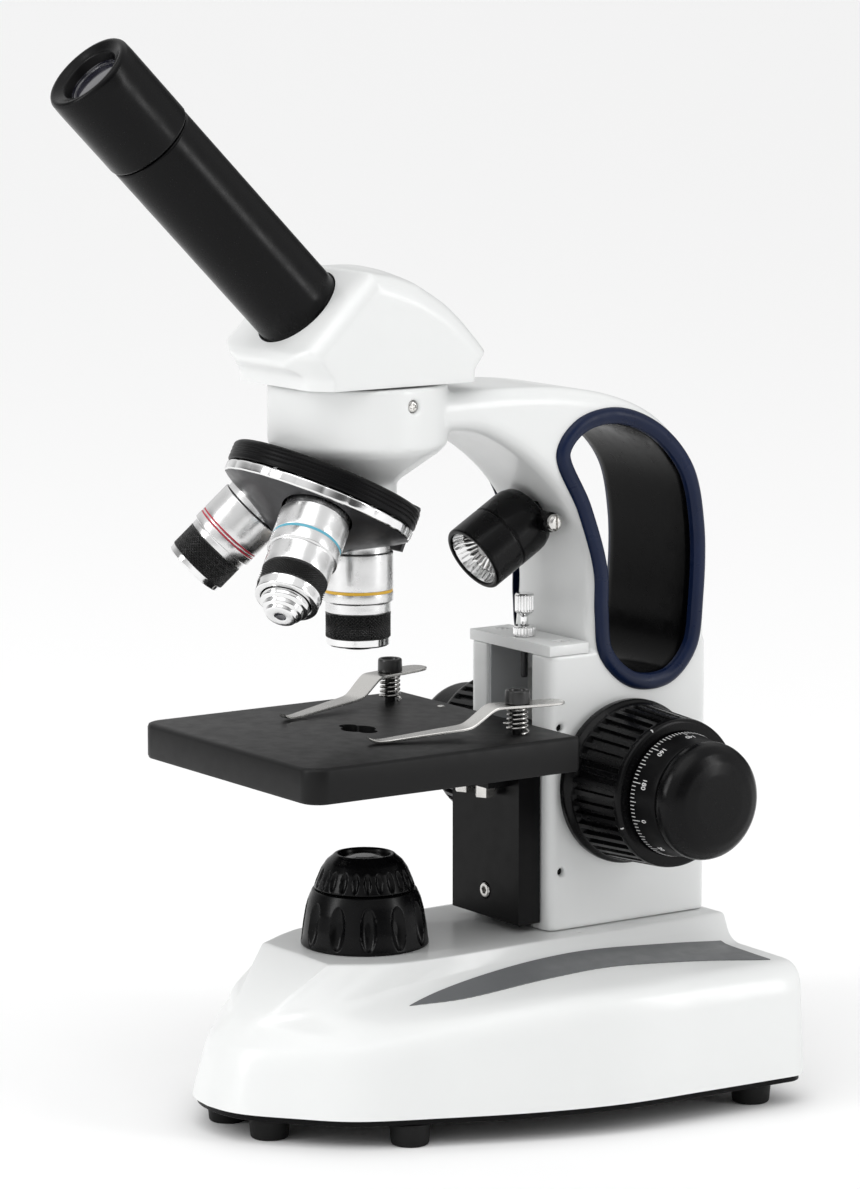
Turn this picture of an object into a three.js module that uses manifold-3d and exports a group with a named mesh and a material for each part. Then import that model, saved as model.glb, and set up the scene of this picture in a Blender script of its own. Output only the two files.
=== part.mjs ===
// A student microscope: cast stand, rack focusing, rotating nosepiece, tilted viewing tube and two lamps.
// Millimetres, +Z up, the user on the -Y side. The optical axis is X = 0, Y = 0 until the last lines,
// which move the whole group so that its origin is the centre of the underside of its bounding box.
import * as THREE from "three";
import { mergeVertices } from "three/addons/utils/BufferGeometryUtils.js";
import Module from "manifold-3d";

const wasm = await Module();
wasm.setup();

// ---------------------------------------------------------------- clearances
const gap = 0.3; // between touching pieces
const runningGap = 0.35; // round pieces that turn or slide in each other
const wall = 3; // cast and moulded walls
const segments = 16; // sides of an ordinary round piece
const fine = 26; // sides of a large round piece

// ---------------------------------------------------------------- driving dimensions
const base = {
  halfWidth: 68, noseY: -51, rearY: 111, deckZ: 48.3, deckHalfWidth: 27, deckFrontY: -21.5,
  deckFrontHalfWidth: 17, rearTopZ: 40.3, noseTopZ: 26, draft: 4, edgeRadius: 4, cornerRadius: 6,
};
const foot = { radius: 5.8, height: 6.5, taper: 0.5 };
const plate = { thickness: 2, inset: 1.2 };
const stage = { width: 90, depth: 90, thickness: 10.2, topZ: 110.5, cornerRadius: 6, apertureRadius: 5 };
const arm = { halfWidth: 20, frontY: 52.2, rearY: 109.5, topZ: 205.5, neckFrontY: 66.4, seatZ: 128.6,
  edgeRadius: 5 };
const drum = { radius: 25.3, topZ: 209.2, cylinderBottomZ: 192.5, neckRadius: 11, neckTopZ: 181 };
const grip = { rimWidth: 4.8, rimProud: 1.6, sleeveThickness: 2 };
const channel = { halfWidth: 11, depth: 14.5, rackTopZ: 119 };
const cover = { thickness: 3.2, screwX: 14, screwY: 61, screwHeadRadius: 2.7, screwRadius: 1.4 };
const slide = { halfWidth: 16.6, frontY: 44, bottomZ: 50.8, railTopZ: 105, bossFrontY: 36.5, bossHalfWidth: 12, boss: 9.3 };
const stop = { y: 57.7, pinRadius: 1, pinEndZ: 119.7, knobRadius: 2.9, knobTopZ: 144.3, knobHeight: 5.6,
  nutRadius: 3.4, nutHeight: 3 };
const gear = { module: 1, teeth: 12, width: 8, teethBelow: 7, teethAbove: 4, backlash: 0.4, tipClearance: 1 };
const focus = { y: 78.4, z: 90.6, shaftRadius: 4.5, fineShaftRadius: 2.2 };
const coarse = { radius: 22.6, flangeRadius: 24, flange: 4, innerX: 21.5, width: 25, grooves: 40, grooveDepth: 0.9 };
const dial = { radius: 18.2, width: 10 };
const fineKnob = { radius: 17, straight: 4, dome: 5 };
const illuminator = { y: 2, radius: 18.2, seamZ: 64.4, seamRadius: 14.4, topZ: 74.6, rimRadius: 9.7, lensRadius: 7.6 };
const diaphragm = { radius: 25, thickness: 2.4, pitchRadius: 17, x: -12, screwRadius: 2 };
const clip = { x: 32, y: 32.4, toeIn: 13, leafZ: 118.4, leafThickness: 0.8, width: 8, tab: 14, reach: 45,
  capRadius: 3.6, capHeight: 4.1, capGap: 0.35, postRadius: 1.5, springRadius: 2.7, wire: 0.6 };
const head = { halfWidth: 23.5, bottomZ: 209.7, spigotRadius: 15.7, spigotDepth: 6.5, tilt: 45, crossingZ: 211,
  faceDistance: 28.6, edgeRadius: 3 };
const tube = { radius: 13, bore: 11.6, socketDepth: 12, end: 95 };
const eyepiece = { end: 122.4, insert: 24, lensRadius: 7 };
const nosepiece = { tilt: 25.9, apexZ: 203.5, radius: 27.9, plateTop: 22.5, plateBottom: 29, ring: 2.2,
  shoulder: 42.2, screwRadius: 2.5, seatDepth: 2 };
const lamp = { y: 57.45, z: 166.42, dip: 30.9, radius: 10.25, back: 2.5, length: 23.6, bowl: 7, chamfer: 3,
  screwRadius: 1.5, earRadius: 2.9, earX: 14, bracket: { halfWidth: 3.5, radius: 2.8, length: 6.3 } };
const powerInlet = { x: 30, z: 24, radius: 4.6 };
const powerSwitch = { x: -30, z: 24, width: 20, height: 14 };

// ---------------------------------------------------------------- materials
function finish(color, roughness, metalness = 0) {
  return () => new THREE.MeshStandardMaterial({ color, roughness, metalness });
}
const whitePaint = finish(0xe9eae8, 0.42);
const blackPlastic = finish(0x111111, 0.3);
const blackAnodised = finish(0x1a1a1a, 0.38, 0.5);
const chrome = finish(0xd8d8d8, 0.15, 1);
const brushedSteel = finish(0xb4b4b2, 0.35, 1);
const brass = finish(0xb08d4a, 0.35, 1);
const rubber = finish(0x141414, 0.8);
const navyRubber = finish(0x22305c, 0.55);
const greyPanel = finish(0x85888a, 0.45, 0.2);
const glass = finish(0xcfd8da, 0.05);

// ---------------------------------------------------------------- solids
function solidOf(geometry) {
  const bare = geometry.clone();
  bare.deleteAttribute("normal");
  bare.deleteAttribute("uv");
  const merged = mergeVertices(bare, 1e-4);
  const corners = merged.attributes.position.array;
  const index = Array.from(merged.index.array);
  const triangles = [];
  let volume = 0;
  const corner = (i) => new THREE.Vector3().fromArray(corners, 3 * i);
  for (let i = 0; i < index.length; i += 3) {
    const [a, b, c] = index.slice(i, i + 3);
    if (a === b || b === c || a === c) continue;
    triangles.push(a, b, c);
    volume += corner(a).dot(corner(b).cross(corner(c)));
  }
  if (volume < 0) triangles.reverse();
  return new wasm.Manifold(new wasm.Mesh({
    numProp: 3,
    vertProperties: new Float32Array(corners),
    triVerts: new Uint32Array(triangles),
  }));
}

function meshOf(name, solid, material) {
  const result = solid.getMesh();
  const geometry = new THREE.BufferGeometry();
  geometry.setAttribute("position", new THREE.BufferAttribute(result.vertProperties, 3));
  geometry.setIndex(new THREE.BufferAttribute(result.triVerts, 1));
  geometry.computeVertexNormals();
  const mesh = new THREE.Mesh(geometry, material());
  mesh.name = name;
  return mesh;
}

// A box from its lowest corner to its highest one.
function block(low, high) {
  const size = high.map((value, i) => value - low[i]);
  const box = new THREE.BoxGeometry(...size);
  box.translate(...low.map((value, i) => value + size[i] / 2));
  return solidOf(box);
}

// A profile of [radius, height] corners turned round +Z.
function turned(profile, sides = segments) {
  const closed = profile[0][0] > 0 ? [...profile, profile[0]] : profile;
  const lathe = new THREE.LatheGeometry(closed.map(([r, z]) => new THREE.Vector2(r, z)), sides);
  lathe.rotateX(Math.PI / 2);
  return solidOf(lathe);
}

// A round bar between two heights on +Z.
function rod(radius, low, high, sides = segments) {
  return turned([[0, low], [radius, low], [radius, high], [0, high]], sides);
}

// A tube between two heights on +Z.
function sleeve(inner, outer, low, high, sides = segments) {
  return turned([[inner, low], [outer, low], [outer, high], [inner, high]], sides);
}

function prismOf(points, depth) {
  const shape = new THREE.Shape(points.map(([x, y]) => new THREE.Vector2(x, y)));
  return solidOf(new THREE.ExtrudeGeometry(shape, { depth, bevelEnabled: false }));
}

// An outline in (Y, Z) given thickness along X, centred on X = 0.
function slabAcross(points, halfWidth) {
  return prismOf(points, 2 * halfWidth).rotate([90, 0, 90]).translate([-halfWidth, 0, 0]);
}

// The same with its edges rounded where the outline meets the two flat sides.
function roundedSlab(points, halfWidth, radius) {
  const ringAt = (x, distance) => inset(points, distance).map(([y, z]) => [y, z, x]);
  const steps = [[0, radius], [0.29 * radius, 0.29 * radius], [radius, 0]];
  const rings = steps.map(([x, distance]) => ringAt(-halfWidth + x, distance));
  const others = steps.reverse().map(([x, distance]) => ringAt(halfWidth - x, distance));
  return lofted([...rings, ...others]).rotate([90, 0, 90]);
}

// Turns a solid that is built on +Z onto +X.
function alongX(solid) {
  return solid.rotate([0, 90, 0]);
}

function mirroredX(solid) {
  return solid.mirror([1, 0, 0]);
}

// Moves each corner of a closed outline inwards by the same distance.
function inset(points, distance) {
  const count = points.length;
  const turning = Math.sign(THREE.ShapeUtils.area(points.map(([x, y]) => new THREE.Vector2(x, y))));
  return points.map(([x, y], i) => {
    const [px, py] = points[(i + count - 1) % count];
    const [nx, ny] = points[(i + 1) % count];
    const before = new THREE.Vector2(x - px, y - py).normalize();
    const after = new THREE.Vector2(nx - x, ny - y).normalize();
    const inward = new THREE.Vector2(-before.y - after.y, before.x + after.x).normalize();
    const reach = distance / Math.max(0.5, Math.abs(inward.dot(new THREE.Vector2(-after.y, after.x))));
    return [x + turning * inward.x * reach, y + turning * inward.y * reach];
  });
}

function smoothClosed(points, count) {
  const curve = new THREE.CatmullRomCurve3(points.map(([x, y]) => new THREE.Vector3(x, y, 0)), true, "centripetal");
  return curve.getPoints(count).slice(0, count).map((p) => [p.x, p.y]);
}

// A solid skinned over closed rings of [x, y, z] points, all with the same number of points.
function lofted(given) {
  const areaOf = (ring) => THREE.ShapeUtils.area(ring.map(([x, y]) => new THREE.Vector2(x, y)));
  const rings = areaOf(given[0]) < 0 ? given.map((ring) => [...ring].reverse()) : given;
  const count = rings[0].length;
  const index = [];
  for (let r = 0; r + 1 < rings.length; r += 1) {
    for (let i = 0; i < count; i += 1) {
      const j = (i + 1) % count;
      const [a, b, c, d] = [r * count + i, r * count + j, (r + 1) * count + j, (r + 1) * count + i];
      index.push(a, b, c, a, c, d);
    }
  }
  for (const r of [0, rings.length - 1]) {
    const flat = rings[r].map(([x, y]) => new THREE.Vector2(x, y));
    for (const face of THREE.ShapeUtils.triangulateShape(flat, [])) {
      const up = areaOf(face.map((i) => rings[r][i])) > 0;
      const corners = face.map((i) => r * count + i);
      index.push(...(up === (r > 0) ? corners : corners.reverse()));
    }
  }
  const geometry = new THREE.BufferGeometry();
  geometry.setAttribute("position", new THREE.BufferAttribute(new Float32Array(rings.flat(2)), 3));
  geometry.setIndex(index);
  return solidOf(geometry);
}

// ---------------------------------------------------------------- base
const shellBottomZ = foot.height + plate.thickness;
const baseLength = base.rearY - base.noseY;

// Half outlines run from the middle of the front, round the right side, to the rear corner.
function halfCurve(points, count) {
  const curve = new THREE.CatmullRomCurve3(points.map((p) => new THREE.Vector3(...p)), false, "centripetal");
  return curve.getSpacedPoints(count - 1).map((p) => [p.x, p.y, p.z]);
}

function wholeRing(half) {
  const left = half.slice(1).reverse().map(([x, y, z]) => [-x, y, z]);
  return [...half, ...left];
}

function smoothStep(from, to, value) {
  return THREE.MathUtils.smoothstep(value, from, to);
}

function skirtTopZ(y) {
  return base.noseTopZ + (base.rearTopZ - base.noseTopZ) * smoothStep(base.noseY - 25, base.noseY + 110, y);
}

function skirtOutline() {
  const at = (u, v) => [u * base.halfWidth, base.noseY + v * baseLength, 0];
  const nose = halfCurve([at(0, 0), at(0.11, 0.006), at(0.2, 0.021)], 4);
  const side = halfCurve([at(0.2, 0.021), at(0.38, 0.08), at(0.55, 0.15), at(0.72, 0.3), at(0.86, 0.45),
    at(0.95, 0.6), at(0.98, 0.78), [base.halfWidth, base.rearY - base.cornerRadius, 0]], 15);
  return [...nose, ...side.slice(1)];
}

// The skirt's outline moved inwards, with the rear wall moved forwards by its own amount.
function skirtRing(distance, rearInset, height) {
  const half = skirtOutline();
  const moved = inset(wholeRing(half).map(([x, y]) => [x, y]), distance).slice(0, half.length - 1);
  const radius = Math.max(base.cornerRadius - distance, 0.8);
  const corner = [];
  for (let step = 0; step <= 3; step += 1) {
    const angle = (step / 3) * (Math.PI / 2);
    corner.push([base.halfWidth - distance - radius * (1 - Math.cos(angle)),
      base.rearY - rearInset - radius * (1 - Math.sin(angle))]);
  }
  return wholeRing([...moved, ...corner].map(([x, y]) => [x, y, height(y)]));
}

const creaseSideX = base.deckHalfWidth + 3;
const creaseHalf = (() => {
  const front = base.deckFrontY;
  const nose = [[0, front - 19, 31.8], [3.5, front - 18.8, 31.9], [7, front - 17.2, 32.4]];
  const side = [nose[2], [creaseSideX - 10, front - 8.5, 36], [creaseSideX - 3, front + 11.5, 39.5],
    [creaseSideX - 0.5, front + 41.5, 42.5], [creaseSideX, front + 71.5, 43.8],
    [creaseSideX + 0.5, front + 101.5, 42.5], [creaseSideX + 1.6, base.rearY - 1.6, base.rearTopZ + 0.4]];
  return [...halfCurve(nose, 4), ...halfCurve(side, 15).slice(1)];
})();

function deckHalf() {
  const front = halfCurve([[0, base.deckFrontY, base.deckZ],
    [base.deckFrontHalfWidth, base.deckFrontY, base.deckZ]], 4);
  const side = halfCurve([[base.deckFrontHalfWidth, base.deckFrontY, base.deckZ],
    [base.deckHalfWidth - 3.5, base.deckFrontY + 11, base.deckZ],
    [base.deckHalfWidth, base.deckFrontY + 20, base.deckZ],
    [base.deckHalfWidth, base.rearY - 0.6, base.deckZ]], 15);
  return [...front, ...side.slice(1)];
}

// The crease and the deck have no rounded rear corner, so their last point is split to match the skirt's.
function withCorner(half, rearY) {
  const last = half[half.length - 1];
  const corner = [0.1, 0.2, 0.3].map((step) => [last[0] - step, rearY, last[2]]);
  return wholeRing([...half, ...corner]);
}

const baseShell = (() => {
  const outer = lofted([
    skirtRing(0, 0, () => shellBottomZ),
    skirtRing(base.draft, 0.1, (y) => skirtTopZ(y) - base.edgeRadius),
    skirtRing(base.draft + base.edgeRadius * 0.3, 0.4, (y) => skirtTopZ(y) - base.edgeRadius * 0.3),
    skirtRing(base.draft + base.edgeRadius, 1, skirtTopZ),
    withCorner(creaseHalf, base.rearY - 1.2),
    withCorner(deckHalf(), base.rearY - 0.4),
  ]);
  const cavity = lofted([
    skirtRing(wall, wall, () => shellBottomZ - 1),
    skirtRing(wall + base.draft, wall, (y) => skirtTopZ(y) - base.edgeRadius - wall),
  ]);
  const deckOutline = withCorner(deckHalf(), base.rearY - wall).map(([x, y]) => [x, y]);
  const underDeck = prismOf(inset(deckOutline, wall), base.deckZ - wall - shellBottomZ + 1)
    .translate([0, 0, shellBottomZ - 1]);
  const wireHole = rod(6, base.deckZ - 2 * wall, base.deckZ + 1).translate([0, illuminator.y, 0]);
  const inletHole = rod(powerInlet.radius + gap, 0, 20).rotate([-90, 0, 0])
    .translate([powerInlet.x, base.rearY - 12, powerInlet.z]);
  const switchHole = block(
    [powerSwitch.x - powerSwitch.width / 2 - gap, base.rearY - 12, powerSwitch.z - powerSwitch.height / 2 - gap],
    [powerSwitch.x + powerSwitch.width / 2 + gap, base.rearY + 8, powerSwitch.z + powerSwitch.height / 2 + gap],
  );
  return { outer, solid: outer.subtract(cavity).subtract(underDeck).subtract(wireHole).subtract(inletHole)
    .subtract(switchHole) };
})();

// Each inlay is a crescent that follows the top of the skirt and stands a little proud of it.
function inlayPrism(side, grow) {
  const outline = [[34, -5], [38.5, 14], [41.5, 37], [43, 66], [48, 88], [53, 100], [32.6, 100], [31.5, 90],
    [30.4, 66], [31, 44], [32.5, 20]];
  const placed = outline.map(([x, y]) => [side * (x + base.deckHalfWidth - 27), y + base.rearY - 111]);
  return prismOf(inset(placed, -grow), 40).translate([0, 0, 20]);
}
const inlay = { thickness: 1.2, proud: 0.25 };
const shellRaisedBy = (height) => baseShell.outer.translate([0, 0, height]);
function inlaySolid(side) {
  return shellRaisedBy(inlay.proud).intersect(inlayPrism(side, 0)).subtract(shellRaisedBy(inlay.proud - inlay.thickness));
}
function inlayPocket(side) {
  return inlayPrism(side, gap).subtract(shellRaisedBy(inlay.proud - inlay.thickness - gap));
}
const shellSolid = baseShell.solid.subtract(inlayPocket(1)).subtract(inlayPocket(-1));

const basePlateOutline = skirtRing(plate.inset, plate.inset, () => 0).map(([x, y]) => [x, y]);
const basePlate = prismOf(basePlateOutline, plate.thickness).translate([0, 0, foot.height]);

const footPlaces = {
  foot_front_left: [-11, base.noseY + 13.5],
  foot_front_right: [11, base.noseY + 13.5],
  foot_middle_left: [-39, base.noseY + 42],
  foot_middle_right: [39, base.noseY + 42],
  foot_rear_left: [-(base.halfWidth - 11), base.rearY - 13.5],
  foot_rear_right: [base.halfWidth - 11, base.rearY - 13.5],
};
const footSolid = turned([[0, 0], [foot.radius - foot.taper, 0], [foot.radius, 1], [foot.radius, foot.height],
  [0, foot.height]], 12);

const inletSolid = turned([[1.6, 0], [powerInlet.radius, 0], [powerInlet.radius, 11], [powerInlet.radius + 1.4, 11],
  [powerInlet.radius + 1.4, 12.4], [3, 12.4], [3, 4], [1.6, 4]], 20)
  .rotate([-90, 0, 0]).translate([powerInlet.x, base.rearY - 11 + gap, powerInlet.z]);

const switchFaceY = base.rearY;
const rockerHalf = powerSwitch.height / 2 - 0.8;
const switchRocker = slabAcross([[-5, -2], [-5, 2], [-0.6, rockerHalf], [1.6, rockerHalf], [0.9, 0],
  [1.6, -rockerHalf], [-0.6, -rockerHalf]], powerSwitch.width / 2 - runningGap)
  .translate([powerSwitch.x, switchFaceY, powerSwitch.z]);

// ---------------------------------------------------------------- illuminator
const domeWall = 2.4;
function flutes(count, reach, radius, length, z, lean) {
  const cuts = [];
  for (let i = 0; i < count; i += 1) {
    const cutter = new THREE.SphereGeometry(radius, 6, 4);
    cutter.scale(1, 1, length / radius);
    cuts.push(solidOf(cutter).rotate([0, -lean, 0]).translate([reach, 0, z]).rotate([0, 0, (360 * i) / count]));
  }
  return wasm.Manifold.union(cuts);
}
const lowerDome = turned([[illuminator.radius - domeWall, base.deckZ], [illuminator.radius, base.deckZ],
  [illuminator.radius, base.deckZ + 4], [illuminator.radius - 1.2, base.deckZ + 9.5],
  [illuminator.seamRadius, illuminator.seamZ], [illuminator.seamRadius - domeWall, illuminator.seamZ]], fine)
  .subtract(flutes(12, illuminator.radius + 1.6, 2.6, 6.6, base.deckZ + 8, 6));
const upperDome = turned([[illuminator.seamRadius - domeWall, illuminator.seamZ + gap],
  [illuminator.seamRadius, illuminator.seamZ + gap], [12.4, 68.8], [illuminator.rimRadius, illuminator.topZ - 1],
  [illuminator.rimRadius - 0.8, illuminator.topZ], [illuminator.lensRadius + runningGap, illuminator.topZ],
  [illuminator.lensRadius + runningGap, illuminator.topZ - 2.4], [illuminator.lensRadius - 1, illuminator.topZ - 2.4],
  [illuminator.lensRadius - 1, illuminator.topZ - 4]], fine);
const condenserLens = turned([[0, illuminator.topZ - 2.3], [illuminator.lensRadius, illuminator.topZ - 2.3],
  [illuminator.lensRadius, illuminator.topZ - 1.1], [4, illuminator.topZ - 0.4], [0, illuminator.topZ - 0.2]]);
// ---------------------------------------------------------------- arm
const gripOutline = smoothClosed([[54.2, 187], [61, 196], [75.4, 199], [91.1, 193.2], [103, 180.4], [107.3, 163],
  [107.2, 142], [104.5, 126], [95, 117], [81, 117.2], [70, 127], [68, 140], [67.6, 152], [62, 169.5]], 34)
  .map(([y, z]) => [y + (arm.rearY - 109.5), z + (arm.topZ - 205.5)]);
const gripHoleInset = grip.rimWidth - grip.sleeveThickness - gap;
const armProfile = [
  [arm.frontY, base.deckZ - 10], [arm.frontY, arm.seatZ + 10], [arm.neckFrontY, arm.seatZ + 10],
  [arm.neckFrontY + 1.6, 145], [arm.neckFrontY + 0.7, 154.4], [arm.neckFrontY - 3, 165.3],
  [arm.neckFrontY - 9.6, 175], [arm.neckFrontY - 17.6, 182.9], [arm.neckFrontY - 27.2, 189.4],
  [arm.neckFrontY - 37.5, 194], [4, 195],
  [4, arm.topZ], [45, arm.topZ], [60, arm.topZ - 0.8], [75, arm.topZ - 3.4], [88, arm.topZ - 8.6],
  [97, arm.topZ - 15.2], [104, arm.topZ - 24.5], [108.3, arm.topZ - 34.5], [arm.rearY, arm.topZ - 45],
  [arm.rearY, base.deckZ - 10],
];
const nosepieceFrame = (solid) => solid.rotate([-nosepiece.tilt, 0, 0]).translate([0, 0, nosepiece.apexZ]);
const belowTurretSeat = (depth) => nosepieceFrame(rod(60, -90, -nosepiece.plateTop - depth));
const drumSolid = turned([[0, drum.neckTopZ], [drum.neckRadius, drum.neckTopZ],
  [drum.radius - 1, drum.cylinderBottomZ - 2], [drum.radius, drum.cylinderBottomZ], [drum.radius, drum.topZ],
  [0, drum.topZ]], fine).subtract(belowTurretSeat(-gap))
  .add(rod(drum.neckRadius, 160, drum.cylinderBottomZ, fine).subtract(belowTurretSeat(nosepiece.seatDepth)));
const socketRadius = head.spigotRadius + runningGap;
const lightPath = rod(7, 140, 240);
const lampFrame = (solid) => solid.rotate([90 + lamp.dip, 0, 0]).translate([0, lamp.y, lamp.z]);
const bracket = lamp.bracket;
const lampBracket = lampFrame(
  block([-bracket.halfWidth, -bracket.radius, -bracket.length], [bracket.halfWidth, bracket.radius, 0])
    .add(alongX(rod(bracket.radius, -bracket.halfWidth, bracket.halfWidth, 16)))
    .subtract(alongX(rod(lamp.screwRadius + runningGap, -9, 9, 12))),
);
const lampBracketPocket = lampFrame(block(
  [-bracket.halfWidth - gap, -bracket.radius - gap, -bracket.length - gap],
  [bracket.halfWidth + gap, bracket.radius + gap, 0],
));
const pinionRadius = (gear.module * gear.teeth) / 2;
const pinionTip = pinionRadius + gear.module;
const rackPitchY = focus.y - pinionRadius;
const channelRearY = rackPitchY + gear.module + gear.tipClearance;
const armBlank = roundedSlab(armProfile, arm.halfWidth, arm.edgeRadius)
  .subtract(block([-30, -200, 0], [30, 200, base.deckZ]))
  .subtract(block([-30, -200, arm.seatZ], [30, arm.neckFrontY, arm.seatZ + 14])).add(drumSolid);
const headScrewZ = 204.2;
const armSolid = armBlank
  .subtract(rod(socketRadius, drum.topZ - head.spigotDepth - 0.5, drum.topZ + 1, fine))
  .subtract(lightPath)
  .subtract(block([-channel.halfWidth, arm.frontY - 1, base.deckZ - 1],
    [channel.halfWidth, arm.frontY + channel.depth, arm.seatZ + 1]))
  .subtract(block([-channel.halfWidth, arm.frontY, base.deckZ - 1],
    [channel.halfWidth, channelRearY, channel.rackTopZ]))
  .subtract(alongX(rod(pinionTip + 1.2, -channel.halfWidth, channel.halfWidth)).translate([0, focus.y, focus.z]))
  .subtract(alongX(rod(focus.shaftRadius + runningGap, -30, 30)).translate([0, focus.y, focus.z]))
  .subtract(slabAcross(inset(gripOutline, gripHoleInset), 30))
  .subtract(lampBracketPocket)
  .subtract(alongX(rod(1.9, 15.5, 30, 14)).translate([0, 2, headScrewZ]))
  .subtract(rod(cover.screwRadius + gap, arm.seatZ - 9, arm.seatZ + 1, 12).translate([cover.screwX, cover.screwY, 0]))
  .subtract(rod(cover.screwRadius + gap, arm.seatZ - 9, arm.seatZ + 1, 12).translate([-cover.screwX, cover.screwY, 0]));
const gripSleeve = slabAcross(inset(gripOutline, gripHoleInset + gap), arm.halfWidth)
  .subtract(slabAcross(inset(gripOutline, grip.rimWidth), arm.halfWidth + 5));
const gripRim = slabAcross(gripOutline, grip.rimProud / 2)
  .subtract(slabAcross(inset(gripOutline, grip.rimWidth), 5))
  .translate([arm.halfWidth + grip.rimProud / 2, 0, 0]);

// ---------------------------------------------------------------- slide cover and stop
const coverTopZ = arm.seatZ + cover.thickness;
function countersunk(x) {
  return turned([[0, arm.seatZ - 8], [cover.screwRadius, arm.seatZ - 8], [cover.screwRadius, coverTopZ - 1.6],
    [cover.screwHeadRadius, coverTopZ - 0.1], [0, coverTopZ - 0.1]], 16).translate([x, cover.screwY, 0]);
}
function countersinkHole(x) {
  return turned([[0, arm.seatZ - 1], [cover.screwRadius + gap, arm.seatZ - 1],
    [cover.screwRadius + gap, coverTopZ - 1.6], [cover.screwHeadRadius + gap, coverTopZ - 0.1],
    [cover.screwHeadRadius + gap, coverTopZ + 1], [0, coverTopZ + 1]], 16).translate([x, cover.screwY, 0]);
}
const slideCover = block([-arm.halfWidth, arm.frontY, arm.seatZ], [arm.halfWidth, arm.neckFrontY - gap, coverTopZ])
  .subtract(rod(stop.pinRadius + runningGap, arm.seatZ - 1, coverTopZ + 1, 16).translate([0, stop.y, 0]))
  .subtract(countersinkHole(cover.screwX)).subtract(countersinkHole(-cover.screwX));
function knurled(radius, low, high, ridges, depth) {
  const outline = [];
  for (let i = 0; i < 2 * ridges; i += 1) {
    const angle = (Math.PI * i) / ridges;
    const r = i % 2 ? radius - depth : radius;
    outline.push([r * Math.cos(angle), r * Math.sin(angle)]);
  }
  return prismOf(outline, high - low).translate([0, 0, low]);
}
const stopScrew = rod(stop.pinRadius, stop.pinEndZ, stop.knobTopZ - 0.5, 16)
  .add(knurled(stop.knobRadius, stop.knobTopZ - stop.knobHeight, stop.knobTopZ, 18, 0.3))
  .translate([0, stop.y, 0]);
const stopNut = knurled(stop.nutRadius, coverTopZ, coverTopZ + stop.nutHeight, 18, 0.3)
  .subtract(rod(stop.pinRadius + runningGap, coverTopZ - 1, coverTopZ + 9, 16)).translate([0, stop.y, 0]);

// ---------------------------------------------------------------- rack and pinion focusing
function gearOutline(teeth) {
  const root = pinionRadius - 1.2 * gear.module;
  const pitchAngle = (2 * Math.PI) / teeth;
  const outline = [];
  for (let i = 0; i < teeth; i += 1) {
    const middle = i * pitchAngle;
    const thin = gear.backlash / 2 / pinionRadius;
    for (const [r, share] of [[root, -0.36], [pinionRadius, -0.25], [pinionTip, -0.13],
      [pinionTip, 0.13], [pinionRadius, 0.25], [root, 0.36]]) {
      const angle = middle + share * pitchAngle - Math.sign(share) * thin;
      outline.push([r * Math.cos(angle), r * Math.sin(angle)]);
    }
  }
  return outline;
}
const coarseEndX = coarse.innerX + coarse.width;
const pinionShaft = prismOf(gearOutline(gear.teeth), gear.width).translate([0, 0, -gear.width / 2])
  .add(rod(focus.shaftRadius, -coarseEndX + 4, coarseEndX - 4))
  .subtract(rod(focus.fineShaftRadius + runningGap, -60, 60))
  .rotate([0, 90, 0]).translate([0, focus.y, focus.z]);
const fineShaft = alongX(rod(focus.fineShaftRadius, -(coarseEndX + dial.width), coarseEndX + dial.width))
  .translate([0, focus.y, focus.z]);

const rackPitch = Math.PI * gear.module;
const tongueRearY = arm.frontY + channel.depth - gap;
const rackOutline = [[tongueRearY, focus.z - gear.teethBelow * rackPitch]];
for (let i = -gear.teethBelow; i < gear.teethAbove; i += 1) {
  const middle = focus.z + (i + 0.5) * rackPitch;
  const rootY = rackPitchY - 1.2 * gear.module;
  const tipY = rackPitchY + 0.9 * gear.module;
  for (const [y, share] of [[rootY, -0.36], [tipY, -0.14], [tipY, 0.14], [rootY, 0.36]]) {
    rackOutline.push([y, middle + share * rackPitch - Math.sign(share) * (gear.backlash / 2)]);
  }
}
rackOutline.push([tongueRearY, focus.z + gear.teethAbove * rackPitch]);
const rack = slabAcross(rackOutline, gear.width / 2 - 0.5);

const stageBottomZ = stage.topZ - stage.thickness;
const tongueHalfWidth = channel.halfWidth - runningGap;
const bracketRearY = arm.frontY - 0.7;
const boltPlaces = [-5, 5];
const boltY = 40.4;
const boltShank = 2;
const slideBracket = block([-slide.halfWidth, slide.frontY, slide.bottomZ],
  [slide.halfWidth, bracketRearY, stageBottomZ])
  .add(block([-slide.bossHalfWidth, slide.bossFrontY, stageBottomZ - slide.boss],
    [slide.bossHalfWidth, bracketRearY, stageBottomZ]))
  .add(block([-tongueHalfWidth, bracketRearY - 1, slide.bottomZ + 2],
    [tongueHalfWidth, tongueRearY, slide.railTopZ]))
  .subtract(rod(2.6, 0, 4).rotate([-90, 0, 0]).translate([0, slide.frontY - 1, slide.bottomZ + 7.6]))
  .subtract(rod(boltShank + gap, stageBottomZ - 12, stageBottomZ + 1, 12).translate([boltPlaces[0], boltY, 0]))
  .subtract(rod(boltShank + gap, stageBottomZ - 12, stageBottomZ + 1, 12).translate([boltPlaces[1], boltY, 0]));

function hexBolt(x) {
  const headTop = stageBottomZ - slide.boss;
  return rod(3.1, headTop - 3.6, headTop, 6).add(rod(boltShank, headTop - 0.5, stageBottomZ + 5, 12))
    .translate([x, boltY, 0]);
}

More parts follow.
